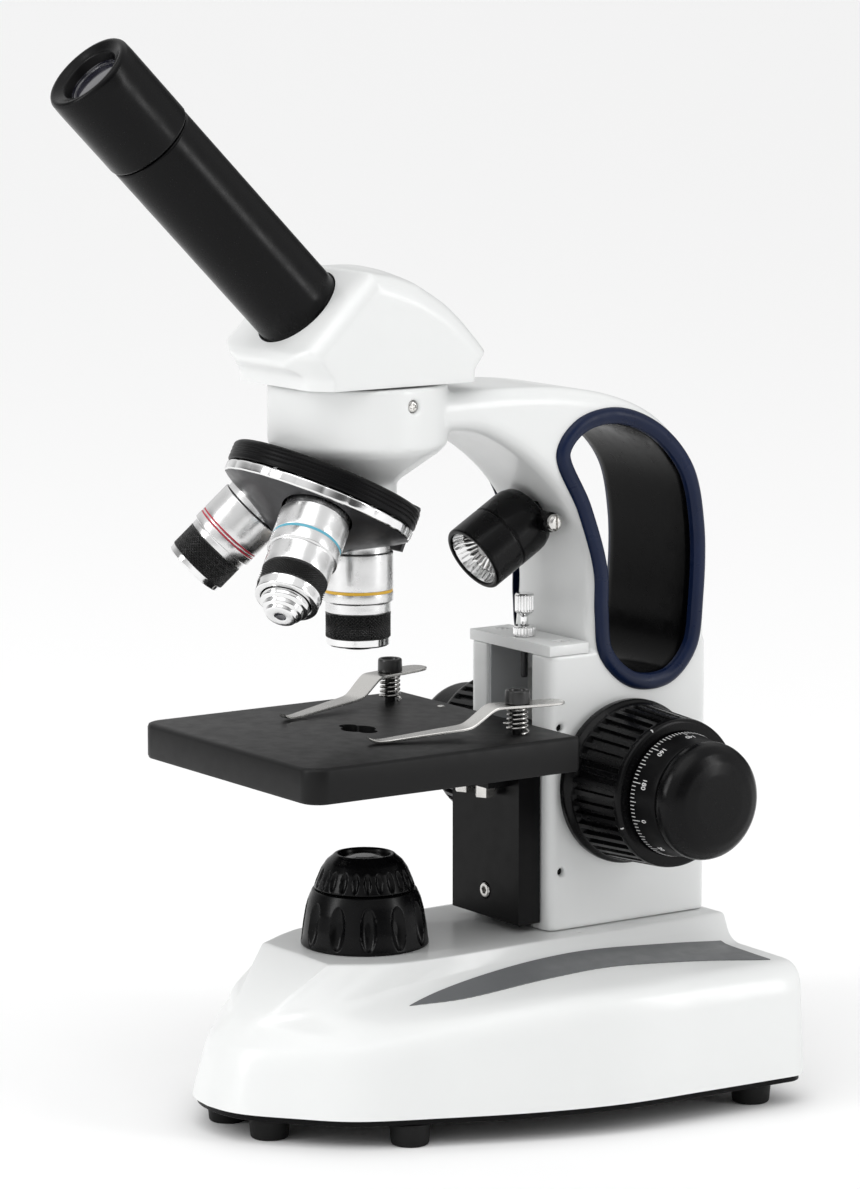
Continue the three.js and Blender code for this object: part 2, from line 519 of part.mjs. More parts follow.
// ---------------------------------------------------------------- stage
function roundedRectangle(width, depth, frontRadius, rearRadius) {
  const shape = new THREE.Shape();
  const [w, d] = [width / 2, depth / 2];
  shape.moveTo(-w + frontRadius, -d);
  shape.lineTo(w - frontRadius, -d);
  shape.absarc(w - frontRadius, -d + frontRadius, frontRadius, -Math.PI / 2, 0);
  shape.absarc(w - rearRadius, d - rearRadius, rearRadius, 0, Math.PI / 2);
  shape.absarc(-w + rearRadius, d - rearRadius, rearRadius, Math.PI / 2, Math.PI);
  shape.absarc(-w + frontRadius, -d + frontRadius, frontRadius, Math.PI, 1.5 * Math.PI);
  return shape;
}
const stageBevel = 0.8;
const stageBlank = solidOf(new THREE.ExtrudeGeometry(
  roundedRectangle(stage.width - 2 * stageBevel, stage.depth - 2 * stageBevel, stage.cornerRadius - stageBevel, 1),
  { depth: stage.thickness - 2 * stageBevel, bevelThickness: stageBevel, bevelSize: stageBevel, bevelSegments: 1,
    curveSegments: 3 },
)).translate([0, 0, stageBottomZ + stageBevel]);
const diaphragmY = -Math.sqrt(diaphragm.pitchRadius ** 2 - diaphragm.x ** 2);
const diaphragmTopZ = stageBottomZ - runningGap;
const clipPlaces = { left: -clip.x, right: clip.x };
let stageSolid = stageBlank.subtract(rod(stage.apertureRadius, stageBottomZ - 1, stage.topZ + 1, 24))
  .subtract(rod(diaphragm.screwRadius + gap, stageBottomZ - 1, stageBottomZ + 5, 16)
    .translate([diaphragm.x, diaphragmY, 0]));
for (const x of boltPlaces) {
  stageSolid = stageSolid.subtract(rod(boltShank + gap, stageBottomZ - 1, stageBottomZ + 5.5, 12)
    .translate([x, boltY, 0]));
}
for (const x of Object.values(clipPlaces)) {
  stageSolid = stageSolid.subtract(rod(clip.postRadius + runningGap, stage.topZ - 6, stage.topZ + 1, 16)
    .translate([x, clip.y, 0]));
}
const disc = knurled(diaphragm.radius, diaphragmTopZ - diaphragm.thickness, diaphragmTopZ, 32, 0.35);
const discHoleRadii = [4, 3, 2.2, 1.5, 1];
let discSolid = disc.subtract(rod(diaphragm.screwRadius + runningGap, 80, 110, 16));
discHoleRadii.forEach((radius, i) => {
  const hole = rod(radius, 80, 110, 12).translate([diaphragm.pitchRadius, 0, 0]);
  const toAxis = THREE.MathUtils.radToDeg(Math.atan2(-diaphragmY, -diaphragm.x));
  discSolid = discSolid.subtract(hole.rotate([0, 0, toAxis + (360 * i) / discHoleRadii.length]));
});
discSolid = discSolid.translate([diaphragm.x, diaphragmY, 0]);
const discBottomZ = diaphragmTopZ - diaphragm.thickness;
const diaphragmScrew = rod(4, discBottomZ - runningGap - 2, discBottomZ - runningGap, 18)
  .add(rod(diaphragm.screwRadius, discBottomZ - 1, stageBottomZ + 4.5, 16))
  .translate([diaphragm.x, diaphragmY, 0]);

// ---------------------------------------------------------------- stage clips
// A leaf is built with its post at the origin and its tip towards -Y, then turned in by the toe angle.
const leafTopZ = clip.leafZ + clip.leafThickness;
function clipLeaf() {
  const t = clip.leafThickness;
  const low = stage.topZ + 0.25;
  const upper = [[clip.tab, 0.1], [-7, 0], [-15.5, -(clip.leafZ - low) + 1.6], [-clip.reach + 2, -(clip.leafZ - low)],
    [-clip.reach, -(clip.leafZ - low) + 0.5]];
  const outline = [...upper.map(([y, z]) => [y, leafTopZ + z]), ...upper.reverse().map(([y, z]) => [y, clip.leafZ + z])];
  const plan = [[-1.6, -clip.reach], [1.6, -clip.reach], [2.6, -clip.reach + 3], [clip.width / 2, -13],
    [clip.width / 2, clip.tab - 4], [2.4, clip.tab - 0.8], [0, clip.tab], [-2.4, clip.tab - 0.8],
    [-clip.width / 2, clip.tab - 4], [-clip.width / 2, -13], [-2.6, -clip.reach + 3]];
  return slabAcross(outline, clip.width)
    .intersect(prismOf(plan, 30).translate([0, 0, stage.topZ - 5]))
    .subtract(rod(clip.postRadius + 0.7, 100, 140, 16));
}
const clipCapLowZ = leafTopZ + clip.capGap;
const clipCapTopZ = leafTopZ + clip.capHeight;
const clipCap = turned([[0, clipCapTopZ + 0.05], [2.2, clipCapTopZ], [clip.capRadius, clipCapTopZ - 0.4],
  [clip.capRadius, clipCapLowZ], [clip.postRadius, clipCapLowZ], [clip.postRadius, stage.topZ - 5.5],
  [0, stage.topZ - 5.5]], 20);

class SpringPath extends THREE.Curve {
  constructor(radius, low, high, turns) {
    super();
    Object.assign(this, { radius, low, high, turns });
  }

  getPoint(t, target = new THREE.Vector3()) {
    const angle = 2 * Math.PI * this.turns * t;
    const z = this.low + (this.high - this.low) * t;
    return target.set(this.radius * Math.cos(angle), this.radius * Math.sin(angle), z);
  }
}
function clipSpring() {
  const wireShape = new THREE.Shape();
  wireShape.absarc(0, 0, clip.wire / 2, 0, 2 * Math.PI);
  const low = stage.topZ + clip.wire / 2 + 0.1;
  const path = new SpringPath(clip.springRadius, low, clip.leafZ - clip.wire / 2 - 0.1, 3.5);
  return solidOf(new THREE.ExtrudeGeometry(wireShape, { steps: 34, extrudePath: path, curveSegments: 2 }));
}

// ---------------------------------------------------------------- focus knobs, made for the right side
const flangeEndX = coarse.innerX + coarse.flange;
const coarseKnob = alongX(
  knurled(coarse.radius, flangeEndX - 0.2, coarseEndX, coarse.grooves, coarse.grooveDepth)
    .add(turned([[0, coarse.innerX], [coarse.flangeRadius - 0.6, coarse.innerX],
      [coarse.flangeRadius, coarse.innerX + 0.8], [coarse.flangeRadius, flangeEndX], [0, flangeEndX]], fine))
    .subtract(rod(focus.shaftRadius + gap, coarse.innerX - 1, coarseEndX - 4 + gap))
    .subtract(rod(focus.fineShaftRadius + runningGap, 0, 90)),
).translate([0, focus.y, focus.z]);
const dialStartX = coarseEndX + runningGap;
const dialEndX = dialStartX + dial.width;
const fineDial = alongX(turned([[focus.fineShaftRadius + gap, dialStartX], [dial.radius, dialStartX],
  [dial.radius - 0.9, dialEndX], [focus.fineShaftRadius + gap, dialEndX]], fine)).translate([0, focus.y, focus.z]);
const knobStartX = dialEndX + 0.05;
const knobTipX = knobStartX + fineKnob.straight + fineKnob.dome;
function fineKnobSolid(startX) {
  return alongX(turned([[0, startX], [fineKnob.radius - 1.2, startX], [fineKnob.radius, startX + 1.4],
    [fineKnob.radius, knobTipX - fineKnob.dome], [fineKnob.radius - 1.5, knobTipX - 2.6],
    [fineKnob.radius - 5, knobTipX - 1], [7, knobTipX - 0.2], [0, knobTipX]], fine)
    .subtract(rod(focus.fineShaftRadius + gap, 0, coarseEndX + dial.width + gap)))
    .translate([0, focus.y, focus.z]);
}
const fineKnobRight = fineKnobSolid(knobStartX);
const fineKnobLeft = mirroredX(fineKnobSolid(dialStartX));

// ---------------------------------------------------------------- viewing head
const tiltFrame = (solid) => solid.rotate([head.tilt, 0, 0]).translate([0, 0, head.crossingZ]);
const headProfile = [[31, head.bottomZ - 10], [31.4, 213], [26.4, 221], [17.1, 230], [6.7, 236.5], [-9.5, 242],
  [-28.5, 223.3], [-31.6, 218.6], [-27, 212.5], [-27, head.bottomZ - 10]];
const headBlank = roundedSlab(headProfile, head.halfWidth, head.edgeRadius);
const spigotBottomZ = drum.topZ - head.spigotDepth;
const prismLedgeZ = spigotBottomZ + 3.6;
const headSolid = headBlank
  .intersect(block([-40, -50, head.bottomZ], [40, 50, 260]))
  .add(rod(head.spigotRadius, spigotBottomZ, head.bottomZ + 2, fine))
  .subtract(rod(7, 180, 230))
  .subtract(rod(11, prismLedgeZ, 219))
  .subtract(tiltFrame(rod(tube.bore - 0.6, 0, 60)))
  .subtract(tiltFrame(rod(tube.radius + gap, head.faceDistance - tube.socketDepth - gap, 60, fine)));
const prismSide = 7;
const prism = slabAcross([[-prismSide, prismLedgeZ], [prismSide, prismLedgeZ],
  [prismSide, prismLedgeZ + 2 * prismSide - 3], [-prismSide, prismLedgeZ + 6]], prismSide)
  .subtract(rod(1.2, 0, 1)).translate([0, 0, 0.05]);
const tubeStart = head.faceDistance - tube.socketDepth;
const viewingTube = sleeve(tube.bore, tube.radius, tubeStart, tube.end, fine);
const eyepieceBarrel = turned([[9.4, tube.end - eyepiece.insert], [tube.bore - runningGap, tube.end - eyepiece.insert],
  [tube.bore - runningGap, tube.end + gap], [tube.radius, tube.end + gap], [tube.radius, eyepiece.end - 0.8],
  [tube.radius - 0.8, eyepiece.end], [tube.radius - 3.4, eyepiece.end], [eyepiece.lensRadius + gap, eyepiece.end - 2.6],
  [eyepiece.lensRadius + gap, eyepiece.end - 6], [eyepiece.lensRadius - 1, eyepiece.end - 6],
  [eyepiece.lensRadius - 1, eyepiece.end - 8], [9.4, eyepiece.end - 10]], fine);
const eyeLens = turned([[0, eyepiece.end - 5.9], [eyepiece.lensRadius, eyepiece.end - 5.9],
  [eyepiece.lensRadius, eyepiece.end - 3.6], [4, eyepiece.end - 2.8], [0, eyepiece.end - 2.5]]);
// ---------------------------------------------------------------- nosepiece, built with its axis on -Z from the apex
const apexTilt = THREE.MathUtils.degToRad(nosepiece.tilt);
const seatRadius = nosepiece.shoulder * Math.sin(apexTilt);
const seatHeight = nosepiece.shoulder * Math.cos(apexTilt) - 0.25;
const coneHeight = (radius) => seatHeight + (seatRadius - radius) * Math.tan(apexTilt);
const turretPlate = turned([[0, -nosepiece.plateBottom], [nosepiece.radius - 0.6, -nosepiece.plateBottom],
  [nosepiece.radius, -nosepiece.plateBottom + 1], [nosepiece.radius, -nosepiece.plateTop - 1.4],
  [nosepiece.radius - 1.4, -nosepiece.plateTop], [0, -nosepiece.plateTop]], fine);
const discTop = nosepiece.plateBottom + runningGap;
const ringBottom = discTop + nosepiece.ring;
const objectiveThreadRadius = 8.4;
const faceted = 32;
const turretDiscBlank = turned([[0, -coneHeight(7)], [7, -coneHeight(7)],
  [nosepiece.radius - 0.8, -coneHeight(nosepiece.radius - 0.8)], [nosepiece.radius, -ringBottom],
  [nosepiece.radius, -discTop], [0, -discTop]], faceted);
const objectiveTurns = { "10x": 0, "40x": -120, "4x": 120 };
const onObjectiveAxis = (solid, turn) => solid.rotate([nosepiece.tilt, 0, 0]).rotate([0, 0, turn]);
let turretDisc = turretDiscBlank.subtract(rod(nosepiece.screwRadius + runningGap, -90, 0, 16));
for (const turn of Object.values(objectiveTurns)) {
  turretDisc = turretDisc.subtract(onObjectiveAxis(rod(objectiveThreadRadius + gap, -60, -20, 24), turn));
}
const screwHeadTop = coneHeight(7) + runningGap;
const turretScrew = rod(5, -screwHeadTop - 2.4, -screwHeadTop, 18)
  .add(rod(nosepiece.screwRadius, -screwHeadTop - 0.5, -nosepiece.plateBottom + 4, 16));
const turretMount = nosepieceFrame(
  turretPlate.subtract(rod(nosepiece.screwRadius + gap, -60, -nosepiece.plateBottom + 4.3, 16))
    .add(block([-6, nosepiece.radius - 1, -nosepiece.plateBottom - 4], [6, nosepiece.radius + 2.4, -nosepiece.plateTop + 2])
      .subtract(rod(nosepiece.radius + 0.6, -60, -nosepiece.plateBottom, fine))),
)
  .subtract(rod(drum.neckRadius + gap, nosepiece.apexZ - nosepiece.plateTop - 12, 200, fine)
    .subtract(belowTurretSeat(nosepiece.seatDepth + gap)))
  .subtract(rod(6, 100, 200));

// Objectives: [radius, distance below the apex] profiles with a clear bore.
const lensBore = 3;
function objective(profile) {
  const outer = profile.map(([radius, distance]) => [radius, -distance]);
  const [start, end] = [outer[0][1], outer[outer.length - 1][1]];
  return turned([[lensBore, start], ...outer, [lensBore, end]]);
}
const barrelRadius = 9.8;
const gripRadius = 9.2;
const threadTop = 37.8;
const seat = nosepiece.shoulder;
const objectiveShapes = {
  "10x": [[objectiveThreadRadius, threadTop], [objectiveThreadRadius, seat], [barrelRadius, seat], [barrelRadius, 57],
    [gripRadius - 0.2, 57], [gripRadius - 0.2, 57.8], [gripRadius, 57.8], [gripRadius, 65.6], [gripRadius - 0.5, 67.6],
    [4.6, 67.6], [4.2, 69.3]],
  "4x": [[objectiveThreadRadius, threadTop], [objectiveThreadRadius, seat], [barrelRadius, seat], [barrelRadius, 54.6],
    [gripRadius - 0.2, 54.6], [gripRadius - 0.2, 55.4], [gripRadius - 0.2, 63.2], [gripRadius - 0.6, 65.6]],
  "40x": [[objectiveThreadRadius, threadTop], [objectiveThreadRadius, seat], [barrelRadius, seat], [barrelRadius, 54.4],
    [gripRadius + 0.1, 54.4], [gripRadius + 0.1, 67.4], [gripRadius - 0.4, 69.4], [7, 69.4]],
};
const noseTravel = 2;
const objectives = {};
for (const [name, profile] of Object.entries(objectiveShapes)) objectives[name] = objective(profile);
objectives["40x"] = objectives["40x"].subtract(rod(5.2, -80, -58));
const springNose = turned([[1.1, -74.8], [3.4, -74.8], [6.4, -72.4], [6.4, -69.4 - noseTravel - gap],
  [5.2 - runningGap, -69.4 - noseTravel - gap], [5.2 - runningGap, -60.6], [1.1, -60.6]]);

// ---------------------------------------------------------------- upper lamp, built on +Z from its pivot
const lampBody = turned([[0, -lamp.back], [lamp.radius - lamp.chamfer, -lamp.back],
  [lamp.radius, lamp.chamfer - lamp.back], [lamp.radius, lamp.length], [0, lamp.length]], fine)
  .add(alongX(rod(lamp.earRadius, 0, lamp.earX, 18)))
  .subtract(block([-bracket.halfWidth - runningGap, -5, -9], [bracket.halfWidth + runningGap, 5, 3.4]))
  .subtract(alongX(rod(lamp.screwRadius + gap, -5.4, 30, 12)))
  .subtract(rod(lamp.radius - 1.6, lamp.bowl, lamp.length + 1, 24));
const bowlDepth = lamp.length - lamp.bowl;
const reflector = turned([[1.6, 0.4], [3, 0.4], [lamp.radius - 3, bowlDepth * 0.45], [lamp.radius - 2, bowlDepth - 1],
  [lamp.radius - 2.8, bowlDepth - 1], [lamp.radius - 3.9, bowlDepth * 0.5], [2.6, 1.6], [1.6, 1.6]], 24)
  .translate([0, 0, lamp.bowl]);
const lampScrew = alongX(rod(lamp.screwRadius, -5, lamp.earX + 0.5, 12)
  .add(rod(2.6, lamp.earX + 0.3, lamp.earX + 2.3, 16)));

// ---------------------------------------------------------------- assembly
const microscope = new THREE.Group();

function add(name, solid, material, parent = microscope) {
  const mesh = meshOf(name, solid, material);
  parent.add(mesh);
  return mesh;
}

add("base_shell", shellSolid, whitePaint);
add("base_plate", basePlate, blackPlastic);
for (const [name, [x, y]] of Object.entries(footPlaces)) {
  add(name, footSolid, rubber).position.set(x, y, 0);
}
add("inlay_right", inlaySolid(1), greyPanel);
add("inlay_left", inlaySolid(-1), greyPanel);
add("power_inlet", inletSolid, blackPlastic);
add("switch_rocker", switchRocker, blackPlastic);

const illuminatorGroup = new THREE.Group();
illuminatorGroup.position.set(0, illuminator.y, 0);
microscope.add(illuminatorGroup);
add("illuminator_dome", lowerDome, blackPlastic, illuminatorGroup);
add("illuminator_cap", upperDome, blackPlastic, illuminatorGroup);
add("illuminator_lens", condenserLens, glass, illuminatorGroup);

add("arm", armSolid, whitePaint);
add("grip_sleeve", gripSleeve, blackPlastic);
add("grip_rim_right", gripRim, navyRubber);
add("grip_rim_left", mirroredX(gripRim), navyRubber);
add("slide_cover", slideCover, whitePaint);
add("cover_screw_left", countersunk(-cover.screwX), brushedSteel);
add("cover_screw_right", countersunk(cover.screwX), brushedSteel);
add("stop_screw", stopScrew, chrome);
add("stop_nut", stopNut, chrome);

add("slide_bracket", slideBracket, blackAnodised);
add("rack", rack, brass);
add("stage_plate", stageSolid, blackAnodised);
add("stage_bolt_left", hexBolt(boltPlaces[0]), brushedSteel);
add("stage_bolt_right", hexBolt(boltPlaces[1]), brushedSteel);
add("diaphragm_disc", discSolid, blackAnodised);
add("diaphragm_screw", diaphragmScrew, brushedSteel);
for (const [side, x] of Object.entries(clipPlaces)) {
  const clipGroup = new THREE.Group();
  clipGroup.position.set(x, clip.y, 0);
  clipGroup.rotation.z = THREE.MathUtils.degToRad(-Math.sign(x) * clip.toeIn);
  microscope.add(clipGroup);
  add(`clip_leaf_${side}`, clipLeaf(), brushedSteel, clipGroup);
  add(`clip_cap_${side}`, clipCap, blackPlastic, clipGroup);
  add(`clip_spring_${side}`, clipSpring(), brushedSteel, clipGroup);
}

add("pinion_shaft", pinionShaft, brushedSteel);
add("fine_shaft", fineShaft, brushedSteel);
add("coarse_knob_right", coarseKnob, blackPlastic);
add("coarse_knob_left", mirroredX(coarseKnob), blackPlastic);
add("fine_dial", fineDial, blackPlastic);
add("fine_knob_right", fineKnobRight, blackPlastic);
add("fine_knob_left", fineKnobLeft, blackPlastic);

add("viewing_head", headSolid, whitePaint);
add("prism", prism, glass);
const tubeGroup = new THREE.Group();
tubeGroup.position.set(0, 0, head.crossingZ);
tubeGroup.rotation.x = THREE.MathUtils.degToRad(head.tilt);
microscope.add(tubeGroup);
add("viewing_tube", viewingTube, blackAnodised, tubeGroup);
add("eyepiece_barrel", eyepieceBarrel, blackPlastic, tubeGroup);
add("eyepiece_lens", eyeLens, glass, tubeGroup);

add("turret_mount", turretMount, blackPlastic);
const turretGroup = new THREE.Group();
turretGroup.position.set(0, 0, nosepiece.apexZ);
turretGroup.rotation.x = THREE.MathUtils.degToRad(-nosepiece.tilt);
microscope.add(turretGroup);
add("turret_disc", turretDisc, chrome, turretGroup);
add("turret_screw", turretScrew, brushedSteel, turretGroup);
for (const [name, turn] of Object.entries(objectiveTurns)) {
  const axisGroup = new THREE.Group();
  axisGroup.rotation.set(apexTilt, 0, THREE.MathUtils.degToRad(turn), "ZXY");
  turretGroup.add(axisGroup);
  add(`objective_${name}`, objectives[name], chrome, axisGroup);
  if (name === "40x") add("objective_40x_nose", springNose, brushedSteel, axisGroup);
}

add("lamp_bracket", lampBracket, blackPlastic);
const lampGroup = new THREE.Group();
lampGroup.position.set(0, lamp.y, lamp.z);
lampGroup.rotation.x = THREE.MathUtils.degToRad(90 + lamp.dip);
microscope.add(lampGroup);
add("lamp_body", lampBody, blackPlastic, lampGroup);
add("lamp_reflector", reflector, chrome, lampGroup);
add("lamp_screw", lampScrew, brushedSteel, lampGroup);

// The origin goes to the centre of the underside of the bounding box.
microscope.updateMatrixWorld(true);
const bounds = new THREE.Box3().setFromObject(microscope, true);
const middle = bounds.getCenter(new THREE.Vector3());
microscope.position.set(-middle.x, -middle.y, -bounds.min.z);

export default microscope;
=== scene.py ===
"""The looks of a student microscope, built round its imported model. Sizes below are in millimetres."""

import math

import bmesh
import bpy
from mathutils import Matrix, Vector
from mathutils.bvhtree import BVHTree


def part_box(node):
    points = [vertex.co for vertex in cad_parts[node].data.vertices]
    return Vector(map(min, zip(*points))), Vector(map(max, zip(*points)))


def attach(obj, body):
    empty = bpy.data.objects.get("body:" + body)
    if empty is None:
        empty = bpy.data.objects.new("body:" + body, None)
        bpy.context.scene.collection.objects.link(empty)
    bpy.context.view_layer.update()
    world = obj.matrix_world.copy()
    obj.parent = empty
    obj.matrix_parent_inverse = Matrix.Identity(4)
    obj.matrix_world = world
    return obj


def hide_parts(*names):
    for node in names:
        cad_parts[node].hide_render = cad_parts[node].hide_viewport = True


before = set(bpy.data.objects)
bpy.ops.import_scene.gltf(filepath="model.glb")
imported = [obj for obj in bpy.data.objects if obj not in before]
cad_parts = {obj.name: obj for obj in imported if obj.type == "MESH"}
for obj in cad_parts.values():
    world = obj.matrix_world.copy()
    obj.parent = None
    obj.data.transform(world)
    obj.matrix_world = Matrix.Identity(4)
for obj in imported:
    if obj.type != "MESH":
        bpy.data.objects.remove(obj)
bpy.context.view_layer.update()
MM = 0.001

stage_low, stage_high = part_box("stage_plate")
AXIS_Y = (stage_low.y + stage_high.y) / 2 / MM


def moved(x=0.0, y=0.0, z=0.0):
    return Matrix.Translation((x, y, z))


def turned(angle, axis):
    return Matrix.Rotation(math.radians(angle), 4, axis)


TURRET_TILT = 25.9
DRUM_SCREW = (0, 2, 204.2)
SIDE_HOLES = ((56.3, 107.7), (56.8, 65.6))
COVER_SCREW_X, COVER_SCREW_Y = 14, 61
STOP_Y = 57.7
OPTICAL = moved(0, AXIS_Y, 0)
TURRET = OPTICAL @ moved(0, 0, 203.5) @ turned(-TURRET_TILT, "X")
TUBE = OPTICAL @ moved(0, 0, 211) @ turned(45, "X")
LAMP_PIVOT = OPTICAL @ moved(0, 57.45, 166.42)
LAMP = LAMP_PIVOT @ turned(120.9, "X")
LAMP_AXIS = LAMP_PIVOT @ turned(90, "Y")
FOCUS = OPTICAL @ moved(0, 78.4, 90.6) @ turned(90, "Y")
ILLUMINATOR = OPTICAL @ moved(0, 2, 0)
STOP = OPTICAL @ moved(0, STOP_Y, 0)


def metres(matrix):
    scaled = matrix.copy()
    scaled.translation = matrix.translation * MM
    return scaled


# ---------------------------------------------------------------- camera, light and floor
def added(name, data):
    """A new object in the scene."""
    obj = bpy.data.objects.new(name, data)
    bpy.context.scene.collection.objects.link(obj)
    return obj


def set_inputs(node, values):
    for socket, value in values.items():
        node.inputs[socket].default_value = value


def aim(obj, target):
    obj.rotation_mode = "QUATERNION"
    obj.rotation_quaternion = (Vector(target) - obj.location).to_track_quat("-Z", "Y")


def make_camera():
    data = bpy.data.cameras.new("camera")
    data.lens = 139.8
    data.sensor_width = 36
    data.clip_start, data.clip_end = 0.05, 50
    camera = added("camera", data)
    camera.location = Vector((1070.2, -710.9 + AXIS_Y, 348.1)) * MM
    aim(camera, Vector((11.48, 16.70 + AXIS_Y, 148.9)) * MM)
    bpy.context.scene.camera = camera


def area_light(name, place, target, size, watts):
    data = bpy.data.lights.new(name, "AREA")
    data.shape = "RECTANGLE"
    data.size, data.size_y = size
    data.energy = watts
    lamp = added(name, data)
    lamp.location = place
    aim(lamp, target)


def make_studio():
    world = bpy.data.worlds.new("studio")
    bpy.context.scene.world = world
    world.use_nodes = True
    tree = world.node_tree
    tree.nodes["Background"].inputs["Color"].default_value = (1, 1, 1, 1)

    def step(operation, first, second=None):
        node = tree.nodes.new("ShaderNodeMath")
        node.operation = operation
        for socket, value in zip(node.inputs, (first, second)):
            if isinstance(value, (int, float)):
                socket.default_value = value
            elif value is not None:
                tree.links.new(value, socket)
        return node.outputs[0]

    # Soft boxes round the table with darker gaps between them, and an even light overhead.
    axes = tree.nodes.new("ShaderNodeSeparateXYZ")
    tree.links.new(tree.nodes.new("ShaderNodeTexCoord").outputs["Generated"], axes.inputs[0])
    azimuth = step("ARCTAN2", axes.outputs[1], axes.outputs[0])
    around = step("COSINE", step("ADD", step("MULTIPLY", azimuth, 3), 3.33))
    level = step("ADD", step("MULTIPLY", around, 0.38), 0.46)
    above = tree.nodes.new("ShaderNodeMapRange")
    above.interpolation_type = "SMOOTHSTEP"
    set_inputs(above, {"From Min": 0.25, "From Max": 0.75})
    tree.links.new(axes.outputs[2], above.inputs["Value"])
    share = above.outputs["Result"]
    total = step("ADD", step("MULTIPLY", level, step("SUBTRACT", 1, share)), step("MULTIPLY", share, 0.9))
    tree.links.new(total, tree.nodes["Background"].inputs["Strength"])
    bpy.context.scene.view_settings.view_transform = "Standard"
    sky = bpy.data.lights.new("overhead", "SUN")
    sky.energy, sky.angle = 0.75, math.radians(50)
    holder = added("overhead", sky)
    holder.location = (0.5, -0.7, 2)
    aim(holder, (0, 0, 0))
    middle = (0, 0, 0.16)
    area_light("key_left", (-0.25, -1.3, 0.75), middle, (0.3, 0.9), 7)
    area_light("fill_right", (1.25, 0.9, 0.6), middle, (0.2, 0.9), 5)
    floor = bpy.data.meshes.new("floor")
    floor.from_pydata([(-30, -30, 0), (30, -30, 0), (30, 30, 0), (-30, 30, 0)], [], [(0, 1, 2, 3)])
    plane = added("floor", floor)
    floor.materials.append(finish("floor", (0.93, 0.93, 0.93), 0.7))


# ---------------------------------------------------------------- materials
def finish(name, colour, roughness, metallic=0.0, coat=0.0, grain=None, streak=None, mottle=0.0,
           spread=0.0, specular=0.5):
    """A surface whose colour and gloss vary a little. grain and streak are (size, depth) in millimetres."""
    made = bpy.data.materials.new(name)
    made.use_nodes = True
    tree = made.node_tree
    nodes, links = tree.nodes, tree.links
    shader = nodes["Principled BSDF"]
    set_inputs(shader, {"Base Color": (*colour, 1), "Roughness": roughness, "Metallic": metallic,
                        "Coat Weight": coat, "Coat Roughness": 0.12, "Specular IOR Level": specular})
    place = nodes.new("ShaderNodeTexCoord").outputs["Object"]

    def noise(size_mm, detail=2.0, stretch=None):
        source = place
        if stretch:
            mapping = nodes.new("ShaderNodeMapping")
            mapping.inputs["Scale"].default_value = stretch
            links.new(place, mapping.inputs["Vector"])
            source = mapping.outputs["Vector"]
        texture = nodes.new("ShaderNodeTexNoise")
        set_inputs(texture, {"Scale": 1 / (size_mm * MM), "Detail": detail})
        links.new(source, texture.inputs["Vector"])
        return texture.outputs["Fac"]

    if mottle:
        mix = nodes.new("ShaderNodeMix")
        mix.data_type = "RGBA"
        mix.inputs["A"].default_value = (*[c * (1 - mottle) for c in colour], 1)
        mix.inputs["B"].default_value = (*[min(1.0, c * (1 + mottle)) for c in colour], 1)
        links.new(noise(14, 4), mix.inputs["Factor"])
        links.new(mix.outputs["Result"], shader.inputs["Base Color"])
    if spread:
        levels = nodes.new("ShaderNodeMapRange")
        set_inputs(levels, {"From Min": 0.3, "From Max": 0.7, "To Min": max(0.02, roughness - spread),
                            "To Max": roughness + spread})
        links.new(noise(4, 5), levels.inputs["Value"])
        links.new(levels.outputs["Result"], shader.inputs["Roughness"])
    last = None
    for relief, stretch in ((grain, None), (streak, (0.02, 0.02, 1.0))):
        if relief:
            bump = nodes.new("ShaderNodeBump")
            set_inputs(bump, {"Strength": 1.0, "Distance": relief[1] * MM})
            links.new(noise(relief[0], 3, stretch), bump.inputs["Height"])
            if last:
                links.new(last, bump.inputs["Normal"])
            last = bump.outputs["Normal"]
    if last:
        links.new(last, shader.inputs["Normal"])
    return made


make_camera()
make_studio()

PAINT = finish("white_paint", (0.79, 0.80, 0.795), 0.36, coat=0.25, grain=(1.1, 0.012), mottle=0.012,
               spread=0.05)
# Grey painted shade for the inner walls of the slide channel.
CHANNEL_PAINTED_SHADE = finish("channel_painted_shade", (0.42, 0.43, 0.44), 0.4, grain=(0.8, 0.02), mottle=0.05, spread=0.08)
GLOSS = finish("gloss_black", (0.0025, 0.0025, 0.0028), 0.26, grain=(2.4, 0.008), mottle=0.2, spread=0.05,
               specular=0.14)
# Near-black painted shade for the lining deep inside the grip hole, darker than the other blacks.
LINER_PAINTED_SHADE = finish("liner_painted_shade", (0.0012, 0.0012, 0.0014), 0.22, grain=(3.0, 0.02), mottle=0.2, spread=0.08,
               specular=0.05)
SATIN = finish("satin_black", (0.003, 0.003, 0.0033), 0.36, grain=(0.35, 0.008), mottle=0.2, spread=0.06,
               specular=0.1)
STAGE = finish("stage_black", (0.006, 0.006, 0.0062), 0.42, grain=(0.5, 0.006), mottle=0.15, spread=0.04,
               specular=0.18)
KNURL = finish("knurled_black", (0.006, 0.006, 0.006), 0.34, grain=(0.4, 0.006), mottle=0.25, spread=0.05,
               specular=0.6)
RUBBER = finish("foot_rubber", (0.006, 0.006, 0.006), 0.6, grain=(0.5, 0.02), mottle=0.2, spread=0.08,
                specular=0.2)
NAVY = finish("navy_rubber", (0.004, 0.010, 0.036), 0.34, grain=(3.0, 0.02), mottle=0.3, spread=0.1,
              specular=0.2)
GREY = finish("inlay_grey", (0.14, 0.145, 0.15), 0.4, grain=(0.3, 0.010), mottle=0.06, spread=0.06,
              specular=0.4)
CHROME = finish("chrome", (0.82, 0.82, 0.82), 0.13, 1.0, streak=(0.05, 0.002), spread=0.04)
ALUMINIUM = finish("turned_aluminium", (0.72, 0.72, 0.72), 0.25, 1.0, streak=(0.05, 0.004), spread=0.05)
STEEL = finish("stainless", (0.62, 0.61, 0.59), 0.24, 1.0, grain=(0.4, 0.003), spread=0.08)
DARK_METAL = finish("dark_cone", (0.05, 0.05, 0.052), 0.36, 0.6, streak=(0.08, 0.006), spread=0.08)
